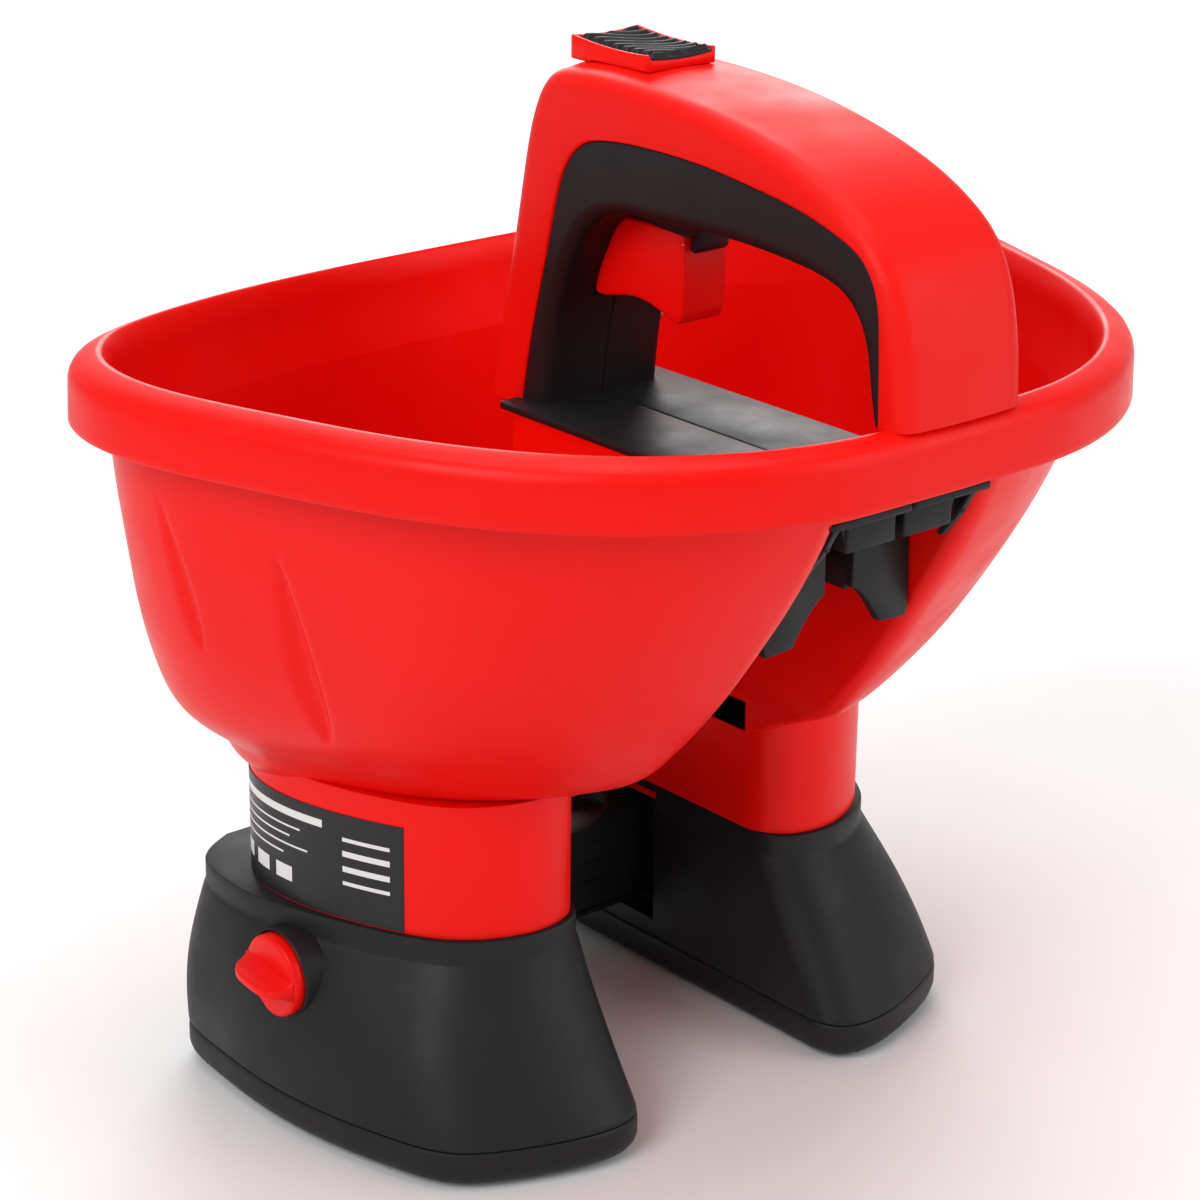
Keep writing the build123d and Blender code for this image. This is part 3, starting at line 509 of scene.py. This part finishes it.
def neck_outline(gap=0.0):
    """Closed outline of the right neck: a soft front corner, the curved outside, the back and the flat wall."""
    outside = inset(spline(NECK, OUTER_COLUMNS), 0)
    inner, corner = NOTCH[0, 1], outside[0]
    first = int(np.searchsorted(along(outside), NECK_CORNER))
    arc = [(1 - t) ** 2 * np.array((inner, corner[1] + NECK_CORNER)) + 2 * t * (1 - t) * corner + t * t * outside[first]
           for t in np.linspace(0, 1, 8)]
    back = even([outside[-1], (inner + 4, NECK_BACK)], 8)[1:]
    wall = even([(inner, NECK_BACK - 4), (inner, corner[1] + NECK_CORNER)], 16)[:-1]
    ring = np.concatenate([arc, outside[first + 1:], back, wall])
    return inset(ring, gap) if gap else ring


def build_neck(bm, side):
    # Height and gap: the neck's root is hidden in the foot's collar.
    rows = [(62, 3), (FOOT_TOP - 0.2, 3), (FOOT_TOP - 0.1, 0)]
    rows += [(z, 0) for z in np.linspace(72, NECK_TOP, 12)]
    rings = []
    for z, gap in rows:
        p = neck_outline(gap)
        rings.append(np.column_stack([p * (side, 1), np.full(len(p), z)]))
    rings_mesh(bm, rings)


hopper = build_hopper()

# ---- feet and soles --------------------------------------------------------------------------------------
RECESS_FRONT, RECESS_BOTTOM, RECESS_TOP, RECESS_WALL = 48.5, 20.0, 66.0, 46.4
LOW = np.array(FOOT_LOW, float)
HIGH = np.array(FOOT_HIGH, float)


def foot_outline(z, gap, recessed):
    """Closed outline of a right foot at a height, moved inwards by the gap."""
    t = np.clip((z - FOOT_JOINT) / (COLLAR - FOOT_JOINT), 0, 1)
    curve = LOW + (HIGH - LOW) * (t * 0.93 + 0.07 * smooth(t))
    curve[:, 0] += 3.4 * math.sin(math.pi * t) * np.linspace(0, 1, len(curve)) ** 0.5
    outside = spline(curve, OUTER_COLUMNS)
    run = np.gradient(outside, axis=0)
    run /= np.linalg.norm(run, axis=1)[:, None]
    outside += np.stack([-run[:, 1], run[:, 0]], -1) * gap
    back_y = FOOT_BACK - 2 * t - gap
    wall = NOTCH[0, 1] + gap
    inner = RECESS_WALL + gap if recessed else wall
    back = even([outside[-1], (inner + 5, back_y)], 8)[1:]
    turn = rounded([(inner + 5, back_y), (inner, back_y), (inner, back_y - 8)], (0, 3, 0), 6)[1:7]
    side = even([turn[-1], (inner, RECESS_FRONT)], 12)[1:]
    step = even([(inner, RECESS_FRONT), (wall, RECESS_FRONT)], 3)[1:]
    front = even([(wall, RECESS_FRONT), outside[0] + (0, 1)], 10)[1:]
    return np.concatenate([outside, back, turn, side, step, front])


def build_foot(side, name):
    bm = bmesh.new()
    # Height, gap and whether the row has the recess that takes the motor pod.
    rows = [(FOOT_JOINT, 0.9, False), (FOOT_JOINT + 0.3, 0.35, False), (FOOT_JOINT + 0.8, 0, False)]
    rows += [(z, 0, False) for z in np.linspace(15.5, RECESS_BOTTOM, 3)]
    rows += [(z, 0, True) for z in np.linspace(RECESS_BOTTOM + 0.01, 58, 16)]
    rows += [(60.2, 0, True), (61.2, 0.1, True), (61.8, 0.3, True), (63, 0.35, True), (RECESS_TOP, 0.35, True)]
    rows += [(RECESS_TOP + 0.01, 0.35, False), (68.6, 0.35, False), (69.1, 0.55, False), (FOOT_TOP, 0.95, False)]
    rings = [np.column_stack([foot_outline(z, gap, cut) * (side, 1), np.full(len(foot_outline(z, gap, cut)), z)])
             for z, gap, cut in rows]
    rings_mesh(bm, rings)
    return piece(f"foot_shell_{name}", bm, black, "body", [f"foot_{name}"], sharp=38)


def build_sole(side, name):
    bm = bmesh.new()
    rows = [(13.3, 1.2), (13.1, 0.55), (12.5, 0.15), (11.5, 0), (6.6, 0), (4.6, 0.6), (3.0, 1.8), (1.9, 3.4), (1.25, 5.4),
            (1.0, 8.0)]
    rings = []
    for z, gap in rows[::-1]:
        outline = foot_outline(FOOT_JOINT, gap, False)
        rings.append(np.column_stack([outline * (side, 1), np.full(len(outline), z)]))
    rings_mesh(bm, rings)
    return piece(f"sole_shell_{name}", bm, black, "body", [f"sole_{name}"], sharp=38)


for side, name in ((-1, "left"), (1, "right")):
    build_foot(side, name)
    build_sole(side, name)

# ---- handle ----------------------------------------------------------------------------------------------
HANDLE_HALF = 24.0
HANDLE_OUTER = [(61, 213.3), (58, 232), (54, 250), (49.5, 271), (45.5, 291), (41, 307), (34.5, 316.5),
                (24, 319.3), (0, 319.6), (-24, 318), (-56, 312.5), (-75, 307), (-90, 300.5), (-102, 292),
                (-110, 281.5), (-114, 270), (-116.3, 256), (-117, 243.3)]
HANDLE_SEAM = [(43, 213.3), (40, 230), (36, 247), (32, 262), (28, 278), (24, 289), (17, 297), (5, 300.5),
               (-15, 301.5), (-40, 300.5), (-57, 298.5), (-73, 296), (-88, 292), (-99.5, 286), (-103.8, 279),
               (-105.6, 268), (-106.2, 255), (-106.6, 243.3)]
HANDLE_INNER = [(33, 215.3), (31, 232), (27, 250), (22, 263), (15, 273), (5, 278.5), (-10, 280), (-50, 281),
                (-67, 280), (-82, 278), (-91.5, 274), (-96.5, 268), (-99.5, 260), (-102.4, 250), (-105, 243.3)]
STATIONS = 150


def matched(first, second, count):
    """Two side curves sampled so that their points face each other."""
    return spline(first, count), spline(second, count)


def shell_section(depth, corner):
    """Half round-shouldered section of the outer shell, from the seam to the crown, then back inside."""
    ry = min(corner, depth * 0.9)
    rx = corner
    crown = 0.06 * depth
    points = [(HANDLE_HALF - 0.5, 0.0), (HANDLE_HALF - 0.1, 0.35), (HANDLE_HALF, 0.9)]
    points += [(HANDLE_HALF, 0.9 + (depth - ry - crown - 0.9) * t) for t in (0.5, 1.0) if depth - ry - crown > 1.0]
    while len(points) < 5:
        points.append(points[-1])
    for a in np.linspace(0, math.pi / 2, 14)[1:]:
        points.append((HANDLE_HALF - rx + rx * math.cos(a) ** 0.9, depth - crown - ry + ry * math.sin(a) ** 0.9))
    flat = HANDLE_HALF - rx
    points += [(flat * (1 - t), depth - crown * (1 - t) ** 2) for t in (0.25, 0.5, 0.75, 1.0)]
    return points


def build_handle_shell():
    bm = bmesh.new()
    outer, seam = matched(HANDLE_OUTER, HANDLE_SEAM, STATIONS)
    rings = []
    for i in range(STATIONS):
        way = outer[i] - seam[i]
        depth = float(np.linalg.norm(way))
        way /= depth
        # The shoulders are tight along the back leg and under the slide, and wide over the front.
        half = shell_section(depth, float(np.interp(outer[i][1], (-50, -15, 5), (15, 13, 7))))
        inside = [(max(0.0, x - 2.2), max(h - 2.2, 0.0)) for x, h in half]
        full = [(-x, h) for x, h in half[:-1]] + half[::-1] + inside[:-1] + [(-x, h) for x, h in inside[::-1]]
        rings.append(np.array([(x, *(seam[i] + way * h)) for x, h in full]))
    rings_mesh(bm, rings)
    return piece("handle_cover", bm, red_grip, "body", ["handle_shell"], sharp=40)


def liner_section(depth):
    """Section of one half of the liner, from its seam line out to the edge and back inside."""
    r = min(5.0, depth * 0.6)
    points = [(0.06, depth - 0.45), (0.45, depth - 0.08), (1.0, depth)]
    points += [(x, depth - 0.01 * x) for x in (6, 12, HANDLE_HALF - 0.45 - r)]
    for a in np.linspace(0, math.pi / 2, 9)[1:]:
        points.append((HANDLE_HALF - 0.45 - r + r * math.sin(a), depth - r + r * math.cos(a) - 0.12))
    points += [(HANDLE_HALF - 0.45, 0.6), (HANDLE_HALF - 0.7, 0.25), (HANDLE_HALF - 3, 0.2)]
    points += [(HANDLE_HALF - 3, max(0.3, depth - 4.5)), (HANDLE_HALF - 6, max(0.4, depth - 2.6)), (0.06, max(0.5, depth - 2.6))]
    return points


def build_liner(side, name):
    bm = bmesh.new()
    inner, seam = matched(HANDLE_INNER, HANDLE_SEAM, STATIONS)
    rings = []
    for i in range(STATIONS):
        way = inner[i] - seam[i]
        depth = float(np.linalg.norm(way))
        way /= depth
        rings.append(np.array([(side * x, *(seam[i] + way * h)) for x, h in liner_section(depth)]))
    rings_mesh(bm, rings)
    obj = piece(f"handle_liner_shell_{name}", bm, liner_black, "body", [f"handle_liner_{name}"], sharp=38)
    slot = bmesh.new()
    add_box(slot, (-9.0, -15.4, 248.0), (9.0, 30, 291), edge=0, corner=0)
    carve(obj, slot, sharp=38)
    return obj


def build_plate(side, name):
    bm = bmesh.new()
    x0, x1 = sorted((side * 0.2, side * 31.0))
    add_box(bm, (x0, -99.2, 213.05), (x1, 45.0, 215.4), edge=0.6, corner=1.5)
    return piece(f"notch_plate_{name}", bm, liner_black, "body")


handle_cover = build_handle_shell()
for side, name in ((-1, "left"), (1, "right")):
    build_liner(side, name)
    build_plate(side, name)


# ---- braces in the notch ---------------------------------------------------------------------------------
def build_brace(side, name):
    bm = bmesh.new()

    def box(x_low, x_high, y_low, y_high, z_low, z_high, edge=0.4, corner=0.6):
        xs = sorted((side * x_low, side * x_high))
        add_box(bm, (xs[0], y_low, z_low), (xs[1], y_high, z_high), edge, corner)

    box(1.6, 20.6, -94, -87, 203.4, 212.9, 0.5, 0.8)
    box(0.3 if side < 0 else 3.2, 27.0, -97.2, -93.5, 212.6, 215.4, 0.5, 0.8)
    box(0.2, 27.2, -93.8, -60, 212.0, 213.1, 0.3, 0.5)
    # Strut down the notch's edge, with the open triangle between it and the block.
    strut = [(-97.0, 213.2), (-94.6, 213.2), (-88.6, 203.6), (-83.0, 196.5), (-85.6, 196.5), (-91.2, 203.5)]
    xs = sorted((side * 25.6, side * 27.9))
    slab(bm, rounded(strut, (0.6, 1.5, 3, 0.5, 0.5, 3), 4), 0, xs[0], xs[1], 0.35)
    wedge = [(20.2 * side, 212.8), (22.8 * side, 212.8), (20.2 * side, 205.0)]
    slab(bm, wedge, 1, -93.2, -87.4, 0.0)
    box(25.9, 27.6, -93, -60, 205.0, 213.0, 0.3, 0.4)
    box(20.0, 26.4, -88.0, -86.0, 203.4, 212.9, 0.2, 0.3)
    # Hanging gusset with its hollowed lower edge, a stiffening rib behind it and its foot on the wall.
    arc = [(5.4, 212.8), (5.4, 181.0)]
    arc += [(5.4 + 12 * t, 181.0 - 13.2 * t ** 1.5) for t in np.linspace(0.1, 1, 9)]
    arc += [(27.4, 167.2), (28.6, 170.0), (27.4, 212.8)]
    slab(bm, [(side * x, z) for x, z in arc], 1, -71, -67.4, 0.45)
    box(5.4, 7.4, -68, -54, 179.5, 191.0, 0.3, 0.4)
    box(26.2, 28.4, -70, -46, 171.0, 212.8, 0.4, 0.5)
    return piece(f"notch_brace_moulding_{name}", bm, liner_black, "body", [f"notch_brace_{name}"])


for side, name in ((-1, "left"), (1, "right")):
    build_brace(side, name)

# ---- trigger and bezel -----------------------------------------------------------------------------------
def build_trigger():
    bm = bmesh.new()
    under = [(-9.6 + 33 * t, 246.4 + 2.4 * t + 3.6 * math.sin(math.pi * t) ** 1.2) for t in np.linspace(0.0, 1, 9)]
    profile = [(-10.9, 274.9), (-11.7, 262), (-11.4, 250.5), (-9.6, 246.4)] + under[1:]
    profile += [(28.0, 248.8), (26.4, 256), (20.4, 268), (17.8, 274.6)]
    radii = [2.0, 12, 3.0, 2.5] + [0] * (len(under) - 1) + [2.0, 6, 6, 2.0]
    slab(bm, rounded(profile, radii, 6), 0, -8.5, 8.5, 1.2, 5)
    add_box(bm, (4.4, 0.5, 274), (8.4, 5.5, 281), 0.3, 0.4)
    return piece("trigger_lever", bm, red, "trigger", ["trigger"], sharp=40)


def build_bezel():
    bm = bmesh.new()
    for side in (-1, 1):
        xs = sorted((side * 9.0, side * 11.2))
        slab(bm, rounded([(-20.5, 280.4), (20.5, 279.4), (19.6, 277.6), (-4, 275.2), (-16, 274.6), (-20.5, 277.6)],
                         (0.5, 0.5, 1, 6, 2, 1), 4), 0, xs[0], xs[1], 0.4)
    slab(bm, rounded([(-15.4, 281), (-11.6, 281), (-11.6, 269.4), (-13.6, 268.6), (-14.8, 270.2)],
                     (0.4, 0.4, 0.8, 0.8, 1), 4), 0, -6.2, 6.2, 0.5)
    add_box(bm, (-11.0, 18.4, 276.8), (11.0, 21.2, 280.6), 0.4, 0.6)
    return piece("trigger_bezel_moulding", bm, liner_black, "body", ["trigger_bezel"])


def build_pin():
    """The pivot pin, which ends inside the trigger's cheeks."""
    bm = bmesh.new()
    lathe(bm, [(1.1, -8.3), (1.5, -7.9), (1.5, 7.9), (1.1, 8.3)], (0, -9.5, 271.0), 0, 24)
    return piece("trigger_pivot_pin", bm, steel, "body", ["trigger_pin"])


build_trigger()
build_bezel()
build_pin()


# ---- flow slide ------------------------------------------------------------------------------------------
SLIDE_FRONT, SLIDE_BACK, SLIDE_HALF, SLIDE_BASE = 0.0, 34.5, 13.0, 319.8


def saddle(x, y):
    """Height of the slide's dished top above its base: low in the middle, rising to the back and sides."""
    t = (y - SLIDE_FRONT) / (SLIDE_BACK - SLIDE_FRONT)
    return 3.0 + 1.0 * (2 * t - 0.75) ** 2 + 0.9 * (x / SLIDE_HALF) ** 2


def crown(x, y):
    """Height of the handle's top under the slide."""
    top = np.interp(-y, [-p[0] for p in HANDLE_OUTER[6:10]], [p[1] for p in HANDLE_OUTER[6:10]])
    return np.maximum(top - (x / HANDLE_HALF) ** 2, 318.2)


def build_slide_frame():
    bm = bmesh.new()
    outline = rounded([(-SLIDE_HALF, SLIDE_FRONT), (SLIDE_HALF, SLIDE_FRONT), (SLIDE_HALF, SLIDE_BACK),
                       (-SLIDE_HALF, SLIDE_BACK)], 0.9, 4)
    outline = even(np.vstack([outline, outline[:1]]), 141)[:-1]

    def ring(gap, lift=None, base=None):
        p = inset(outline, gap)
        if base is not None:
            return np.column_stack([p, crown(p[:, 0], p[:, 1]) + base])
        front = 1.6 * np.exp(-((p[:, 1] - SLIDE_FRONT) / 3.0) ** 2) * (np.abs(p[:, 0]) < SLIDE_HALF - 1.2)
        return np.column_stack([p, SLIDE_BASE + saddle(p[:, 0], p[:, 1]) + 0.2 + lift - front * 0.9])

    rings = [ring(0.35, base=0.1), ring(0.0, base=0.4), ring(0.0, lift=-0.5), ring(0.12, lift=-0.15),
             ring(0.4, lift=0.0), ring(1.1, lift=0.0), ring(1.4, lift=-0.15), ring(1.5, lift=-0.5),
             ring(1.5, base=0.9)]
    rings_mesh(bm, rings)
    return piece("slide_bezel", bm, red, "flow_slide", ["slide_frame"], sharp=50)


def build_slide_pad():
    bm = bmesh.new()
    half, front, back = SLIDE_HALF - 1.6, SLIDE_FRONT + 0.3, SLIDE_BACK - 1.7
    nx, ny = 56, 120
    top = []
    for y in np.linspace(front, back, ny):
        row = []
        for x in np.linspace(-half, half, nx):
            phase = (y + 3.2 * math.sin(x / half * 2.3) + 1.2 * (x / half)) / 4.3
            wave = 0.5 + 0.5 * math.sin(2 * math.pi * phase)
            margin = smooth((half - abs(x)) / 1.6) * smooth((y - front) / 1.5) * smooth((back - y) / 1.5)
            row.append((x, y, min(SLIDE_BASE + saddle(x, y) - 0.5 + 1.9 * wave ** 0.55 * margin, 327.15)))
        top.append(row)
    grid = [[bm.verts.new(Vector(p) * MM) for p in row] for row in top]
    for a, b in zip(grid, grid[1:]):
        for i in range(nx - 1):
            bm.faces.new((a[i], a[i + 1], b[i + 1], b[i]))
    rim = grid[0] + [r[-1] for r in grid[1:]] + grid[-1][-2::-1] + [r[0] for r in grid[-2:0:-1]]
    base = [bm.verts.new(Vector((v.co.x, v.co.y, (SLIDE_BASE + 0.6) * MM))) for v in rim]
    for i in range(len(rim)):
        j = (i + 1) % len(rim)
        bm.faces.new((rim[i], base[i], base[j], rim[j]))
    bm.faces.new(base)
    # Row of small studs along the pad's right side.
    for k in range(5):
        lathe(bm, [(0.7, 0), (0.7, 0.7), (0.45, 1.0), (0.15, 1.1)], (half - 2.4, 8.0 + 5.0 * k, 323.6), 2, 12)
    return piece("slide_thumb_pad", bm, pad_rubber, "flow_slide", ["slide_pad"], sharp=45)


build_slide_frame()
build_slide_pad()

# ---- speed knob ------------------------------------------------------------------------------------------
KNOB_Y, KNOB_Z, KNOB_FACE = 47.0, 49.6, -116.6


def build_knob():
    bm = bmesh.new()
    lathe(bm, [(3, -95.2), (3, -112.4), (12.6, -112.6), (12.95, -113.2), (12.95, -116.4), (12.5, -117.1), (11.6, -117.45),
               (8, -117.5), (0.3, -117.5)], (0, KNOB_Y, KNOB_Z), 0, 72)
    # The grip: a wing across the disc that swells towards its foot.
    rows = []
    reach, tall = 12.3, 8.2
    for y in np.linspace(-reach, reach, 41):
        height = tall * max(0.02, 1 - abs(y / reach) ** 3.2) ** 0.55
        row = []
        for s in np.linspace(0, 1, 19):
            side_sign = 1 if s < 0.5 else -1
            t = 1 - abs(2 * s - 1)
            h = height * (1 - (1 - t) ** 3)
            width = 1.35 * (1 - t ** 5) ** 0.5 + 2.0 * (1 - t) ** 5
            bend = 0.9 * math.sin(y / reach * 1.6)
            row.append((-117.4 - h, KNOB_Y + y, KNOB_Z + side_sign * width + bend))
        rows.append(row)
    rings_mesh(bm, [np.array(r) for r in rows])
    return piece("speed_knob_cap", bm, red, "speed_knob", ["speed_knob"], sharp=45)


def build_knob_ring():
    bm = bmesh.new()
    profile = [(13.35, -106), (13.35, -113.5), (13.5, -113.9), (13.8, -114.05), (14.1, -113.8), (14.3, -113.3),
               (14.35, -106)]
    rings = []
    for r, x in profile + profile[:1]:
        a = np.linspace(0, 2 * math.pi, 72, endpoint=False)
        rings.append(np.column_stack([np.full(72, x), KNOB_Y + r * np.cos(a), KNOB_Z + r * np.sin(a)]))
    rings_mesh(bm, rings, cap_first=False, cap_last=False)
    return piece("knob_surround", bm, black, "body", ["knob_ring"], sharp=45)


build_knob()
build_knob_ring()


# ---- label -----------------------------------------------------------------------------------------------
LABEL_FRONT, LABEL_BACK, LABEL_LOW, LABEL_HIGH = 11.8, 84.0, 69.7, 103.8
# Printed bars as shares of the film: left, right, bottom, top.
LABEL_BARS = [(0.05, 0.62, 0.82, 0.90)]
LABEL_BARS += [(0.05, right, z, z + 0.03) for right, z in ((0.50, 0.70), (0.44, 0.61), (0.54, 0.52), (0.40, 0.43))]
LABEL_BARS += [(left, left + 0.10, 0.18, 0.32) for left in (0.05, 0.20, 0.35)]
LABEL_BARS += [(0.72, 0.94, z, z + 0.05) for z in (0.74, 0.60, 0.46, 0.32)]


def build_label():
    """A film wrapped round the neck, with plain printed bars and no lettering."""
    bm = bmesh.new()
    ring = neck_outline(-0.28)
    keep = ring[(ring[:, 1] > LABEL_FRONT) & (ring[:, 1] < LABEL_BACK) & (ring[:, 0] > 80)]
    curve = even(keep, 101)[::-1] * (-1, 1)
    rows = 56
    heights = np.linspace(LABEL_LOW, LABEL_HIGH, rows)
    grid = [[bm.verts.new(Vector((x, y, z)) * MM) for x, y in curve] for z in heights]
    for j, (a, b) in enumerate(zip(grid, grid[1:])):
        for i in range(len(a) - 1):
            face = bm.faces.new((a[i], a[i + 1], b[i + 1], b[i]))
            u, v = (i + 0.5) / (len(a) - 1), (j + 0.5) / (rows - 1)
            if any(left < u < right and bottom < v < top for left, right, bottom, top in LABEL_BARS):
                face.material_index = 1
    back = [[bm.verts.new(Vector((v.co.x * 0.9975, v.co.y, v.co.z))) for v in row] for row in grid]
    for row, skin in ((grid[0], back[0]), (grid[-1], back[-1])):
        for i in range(len(row) - 1):
            bm.faces.new((row[i], skin[i], skin[i + 1], row[i + 1]))
    for end in (0, -1):
        for a, b, c, d in zip(grid, grid[1:], back, back[1:]):
            bm.faces.new((a[end], b[end], d[end], c[end]))
    for a, b in zip(back, back[1:]):
        for i in range(len(a) - 1):
            bm.faces.new((a[i], b[i], b[i + 1], a[i + 1]))
    return piece("rating_label", bm, [label_black, label_white], "body", ["label_plate"], sharp=30)


build_label()

# ---- spinner, pod and the carried-over nodes -------------------------------------------------------------
SPIN_X, SPIN_Y = 0.0, 81.0


def build_spinner():
    bm = bmesh.new()
    lathe(bm, [(1.5, 62.6), (33.6, 62.6), (34.6, 62.9), (34.95, 63.5), (34.6, 64.3), (33.4, 64.5), (7.4, 64.5), (6.3, 65.6),
               (5.9, 70.4), (5.2, 71.4), (1.5, 71.5)], (SPIN_X, SPIN_Y, 0), 2, 96)
    for k in range(6):
        vane = bmesh.new()
        slab(vane, rounded([(5.2, 64.2), (33.6, 64.2), (34.0, 67.2), (31.0, 69.9), (8.0, 69.9), (5.2, 70.6)],
                           (0, 0.4, 1.5, 2, 2, 0), 4), 1, -0.9, 0.9, 0.35)
        turn = Matrix.Translation((SPIN_X * MM, SPIN_Y * MM, 0)) @ Matrix.Rotation(k * math.pi / 3 + 0.2, 4, "Z")
        bmesh.ops.transform(vane, matrix=turn, verts=vane.verts)
        mesh = bpy.data.meshes.new("vane")
        vane.to_mesh(mesh)
        vane.free()
        bm.from_mesh(mesh)
        bpy.data.meshes.remove(mesh)
    return piece("spinner_plate", bm, black, "spinner", ["spinner_disc"], sharp=35)


def build_pod():
    bm = bmesh.new()
    side_view = rounded([(61, 24.1), (101, 24.1), (101, 58), (61, 58)], (1, 1, 5, 5), 6)
    slab(bm, side_view, 0, -46.0, 46.0, 0.6)
    lathe(bm, [(8.5, 57.4), (8.5, 59.0), (8.0, 59.5), (5.2, 59.5), (5.0, 59.2)], (SPIN_X, SPIN_Y, 0), 2, 48)
    for z in (33, 40, 47):
        add_box(bm, (-30, 60.6, z), (30, 62, z + 1.6), 0.3, 0.5)
    add_box(bm, (-46.0, 61.2, 22.05), (46.0, 100.8, 23.8), 0.5, 2.5)
    for y in (73, 77, 81, 85, 89):
        add_box(bm, (-8, y - 0.8, 21.99), (8, y + 0.8, 22.2), 0.0, 0.4)
    return piece("motor_housing", bm, black, "body", ["motor_pod", "motor_pod_cover"])


build_spinner()
build_pod()

NODE_FINISH = {"handle_screws": steel, "trigger_pin": steel, "trigger_spring": steel, "microswitch": grey,
               "slide_carriage": grey, "flow_rod": steel, "flow_plug": black, "foot_pads_left": rubber,
               "foot_pads_right": rubber, "foot_screws_left": steel, "foot_screws_right": steel, "motor": can,
               "shaft_bush": brass, "spinner_shaft": steel, "potentiometer": grey, "control_board": board_green,
               "battery_tray": black, "battery_contacts": steel, "battery_door": black, "door_pin": steel}
for n in range(1, 5):
    NODE_FINISH[f"battery_cell_{n}"] = cell_wrap
for node_name, finish in NODE_FINISH.items():
    mesh = nodes[node_name].data
    mesh.materials.clear()
    mesh.materials.append(finish)

# ---- camera and light ------------------------------------------------------------------------------------
CAMERA_PLACE = Vector((-0.6183, -0.6871, 0.5064))
CAMERA_AZIMUTH, CAMERA_TILT, CAMERA_ROLL = 40.65, 20.70, 0.76
camera = bpy.data.objects.new("camera", bpy.data.cameras.new("camera"))
bpy.context.scene.collection.objects.link(camera)
az, el, roll = (math.radians(a) for a in (CAMERA_AZIMUTH, CAMERA_TILT, CAMERA_ROLL))
ahead = Vector((math.sin(az) * math.cos(el), math.cos(az) * math.cos(el), -math.sin(el)))
level = Vector((math.cos(az), -math.sin(az), 0))
upright = level.cross(ahead)
right = level * math.cos(roll) + upright * math.sin(roll)
up = upright * math.cos(roll) - level * math.sin(roll)
camera.matrix_world = Matrix.Translation(CAMERA_PLACE) @ Matrix((right, up, -ahead)).transposed().to_4x4()
camera.data.sensor_width = 36.0
camera.data.lens = 98.1
camera.data.clip_start = 0.05
bpy.context.scene.camera = camera


def studio():
    """Pale floor that curves up into a backdrop, soft boxes and an even pale sky."""
    bm = bmesh.new()
    half, reach, radius = 3.0, 1.6, 0.5
    profile = [(-3.0, 0.0), (reach, 0.0)]
    profile += [(reach + radius * math.sin(a), radius * (1 - math.cos(a))) for a in np.linspace(0, math.pi / 2, 12)]
    profile += [(reach + radius, 3.5)]
    away = Vector((math.sin(az), math.cos(az), 0))
    across = Vector((math.cos(az), -math.sin(az), 0))
    rows = [[bm.verts.new(away * d + across * w + Vector((0, 0, z))) for w in (-half, half)] for d, z in profile]
    for a, b in zip(rows, rows[1:]):
        bm.faces.new((a[0], a[1], b[1], b[0]))
    mesh = bpy.data.meshes.new("floor")
    bm.to_mesh(mesh)
    bm.free()
    mesh.shade_smooth()
    floor_obj = bpy.data.objects.new("studio_floor", mesh)
    bpy.context.scene.collection.objects.link(floor_obj)
    mesh.materials.append(plastic("studio_paper", (0.86, 0.86, 0.86), 0.9, grain=0.0, mottle=0.004))

    def area(name, place, target, size, power, tint=(1, 1, 1)):
        light = bpy.data.objects.new(name, bpy.data.lights.new(name, "AREA"))
        light.data.shape, light.data.size, light.data.energy, light.data.color = "SQUARE", size, power, tint
        bpy.context.scene.collection.objects.link(light)
        direction = Vector(target) - Vector(place)
        light.matrix_world = Matrix.Translation(place) @ direction.to_track_quat("-Z", "Y").to_matrix().to_4x4()

    middle = (0, 0, 0.15)
    area("key", (-1.5, -0.4, 1.3), middle, 1.0, 17)
    area("fill", (0.9, -1.5, 0.8), middle, 1.2, 9)
    area("rim", (1.0, 1.3, 1.0), middle, 1.0, 14)
    area("top", (0.0, 0.1, 1.9), middle, 1.3, 13)
    world = bpy.data.worlds.new("sky")
    bpy.context.scene.world = world
    world.use_nodes = True
    world.node_tree.nodes["Background"].inputs["Color"].default_value = (1, 1, 1, 1)
    world.node_tree.nodes["Background"].inputs["Strength"].default_value = 0.42


studio()
bpy.context.scene.view_settings.view_transform = "Standard"
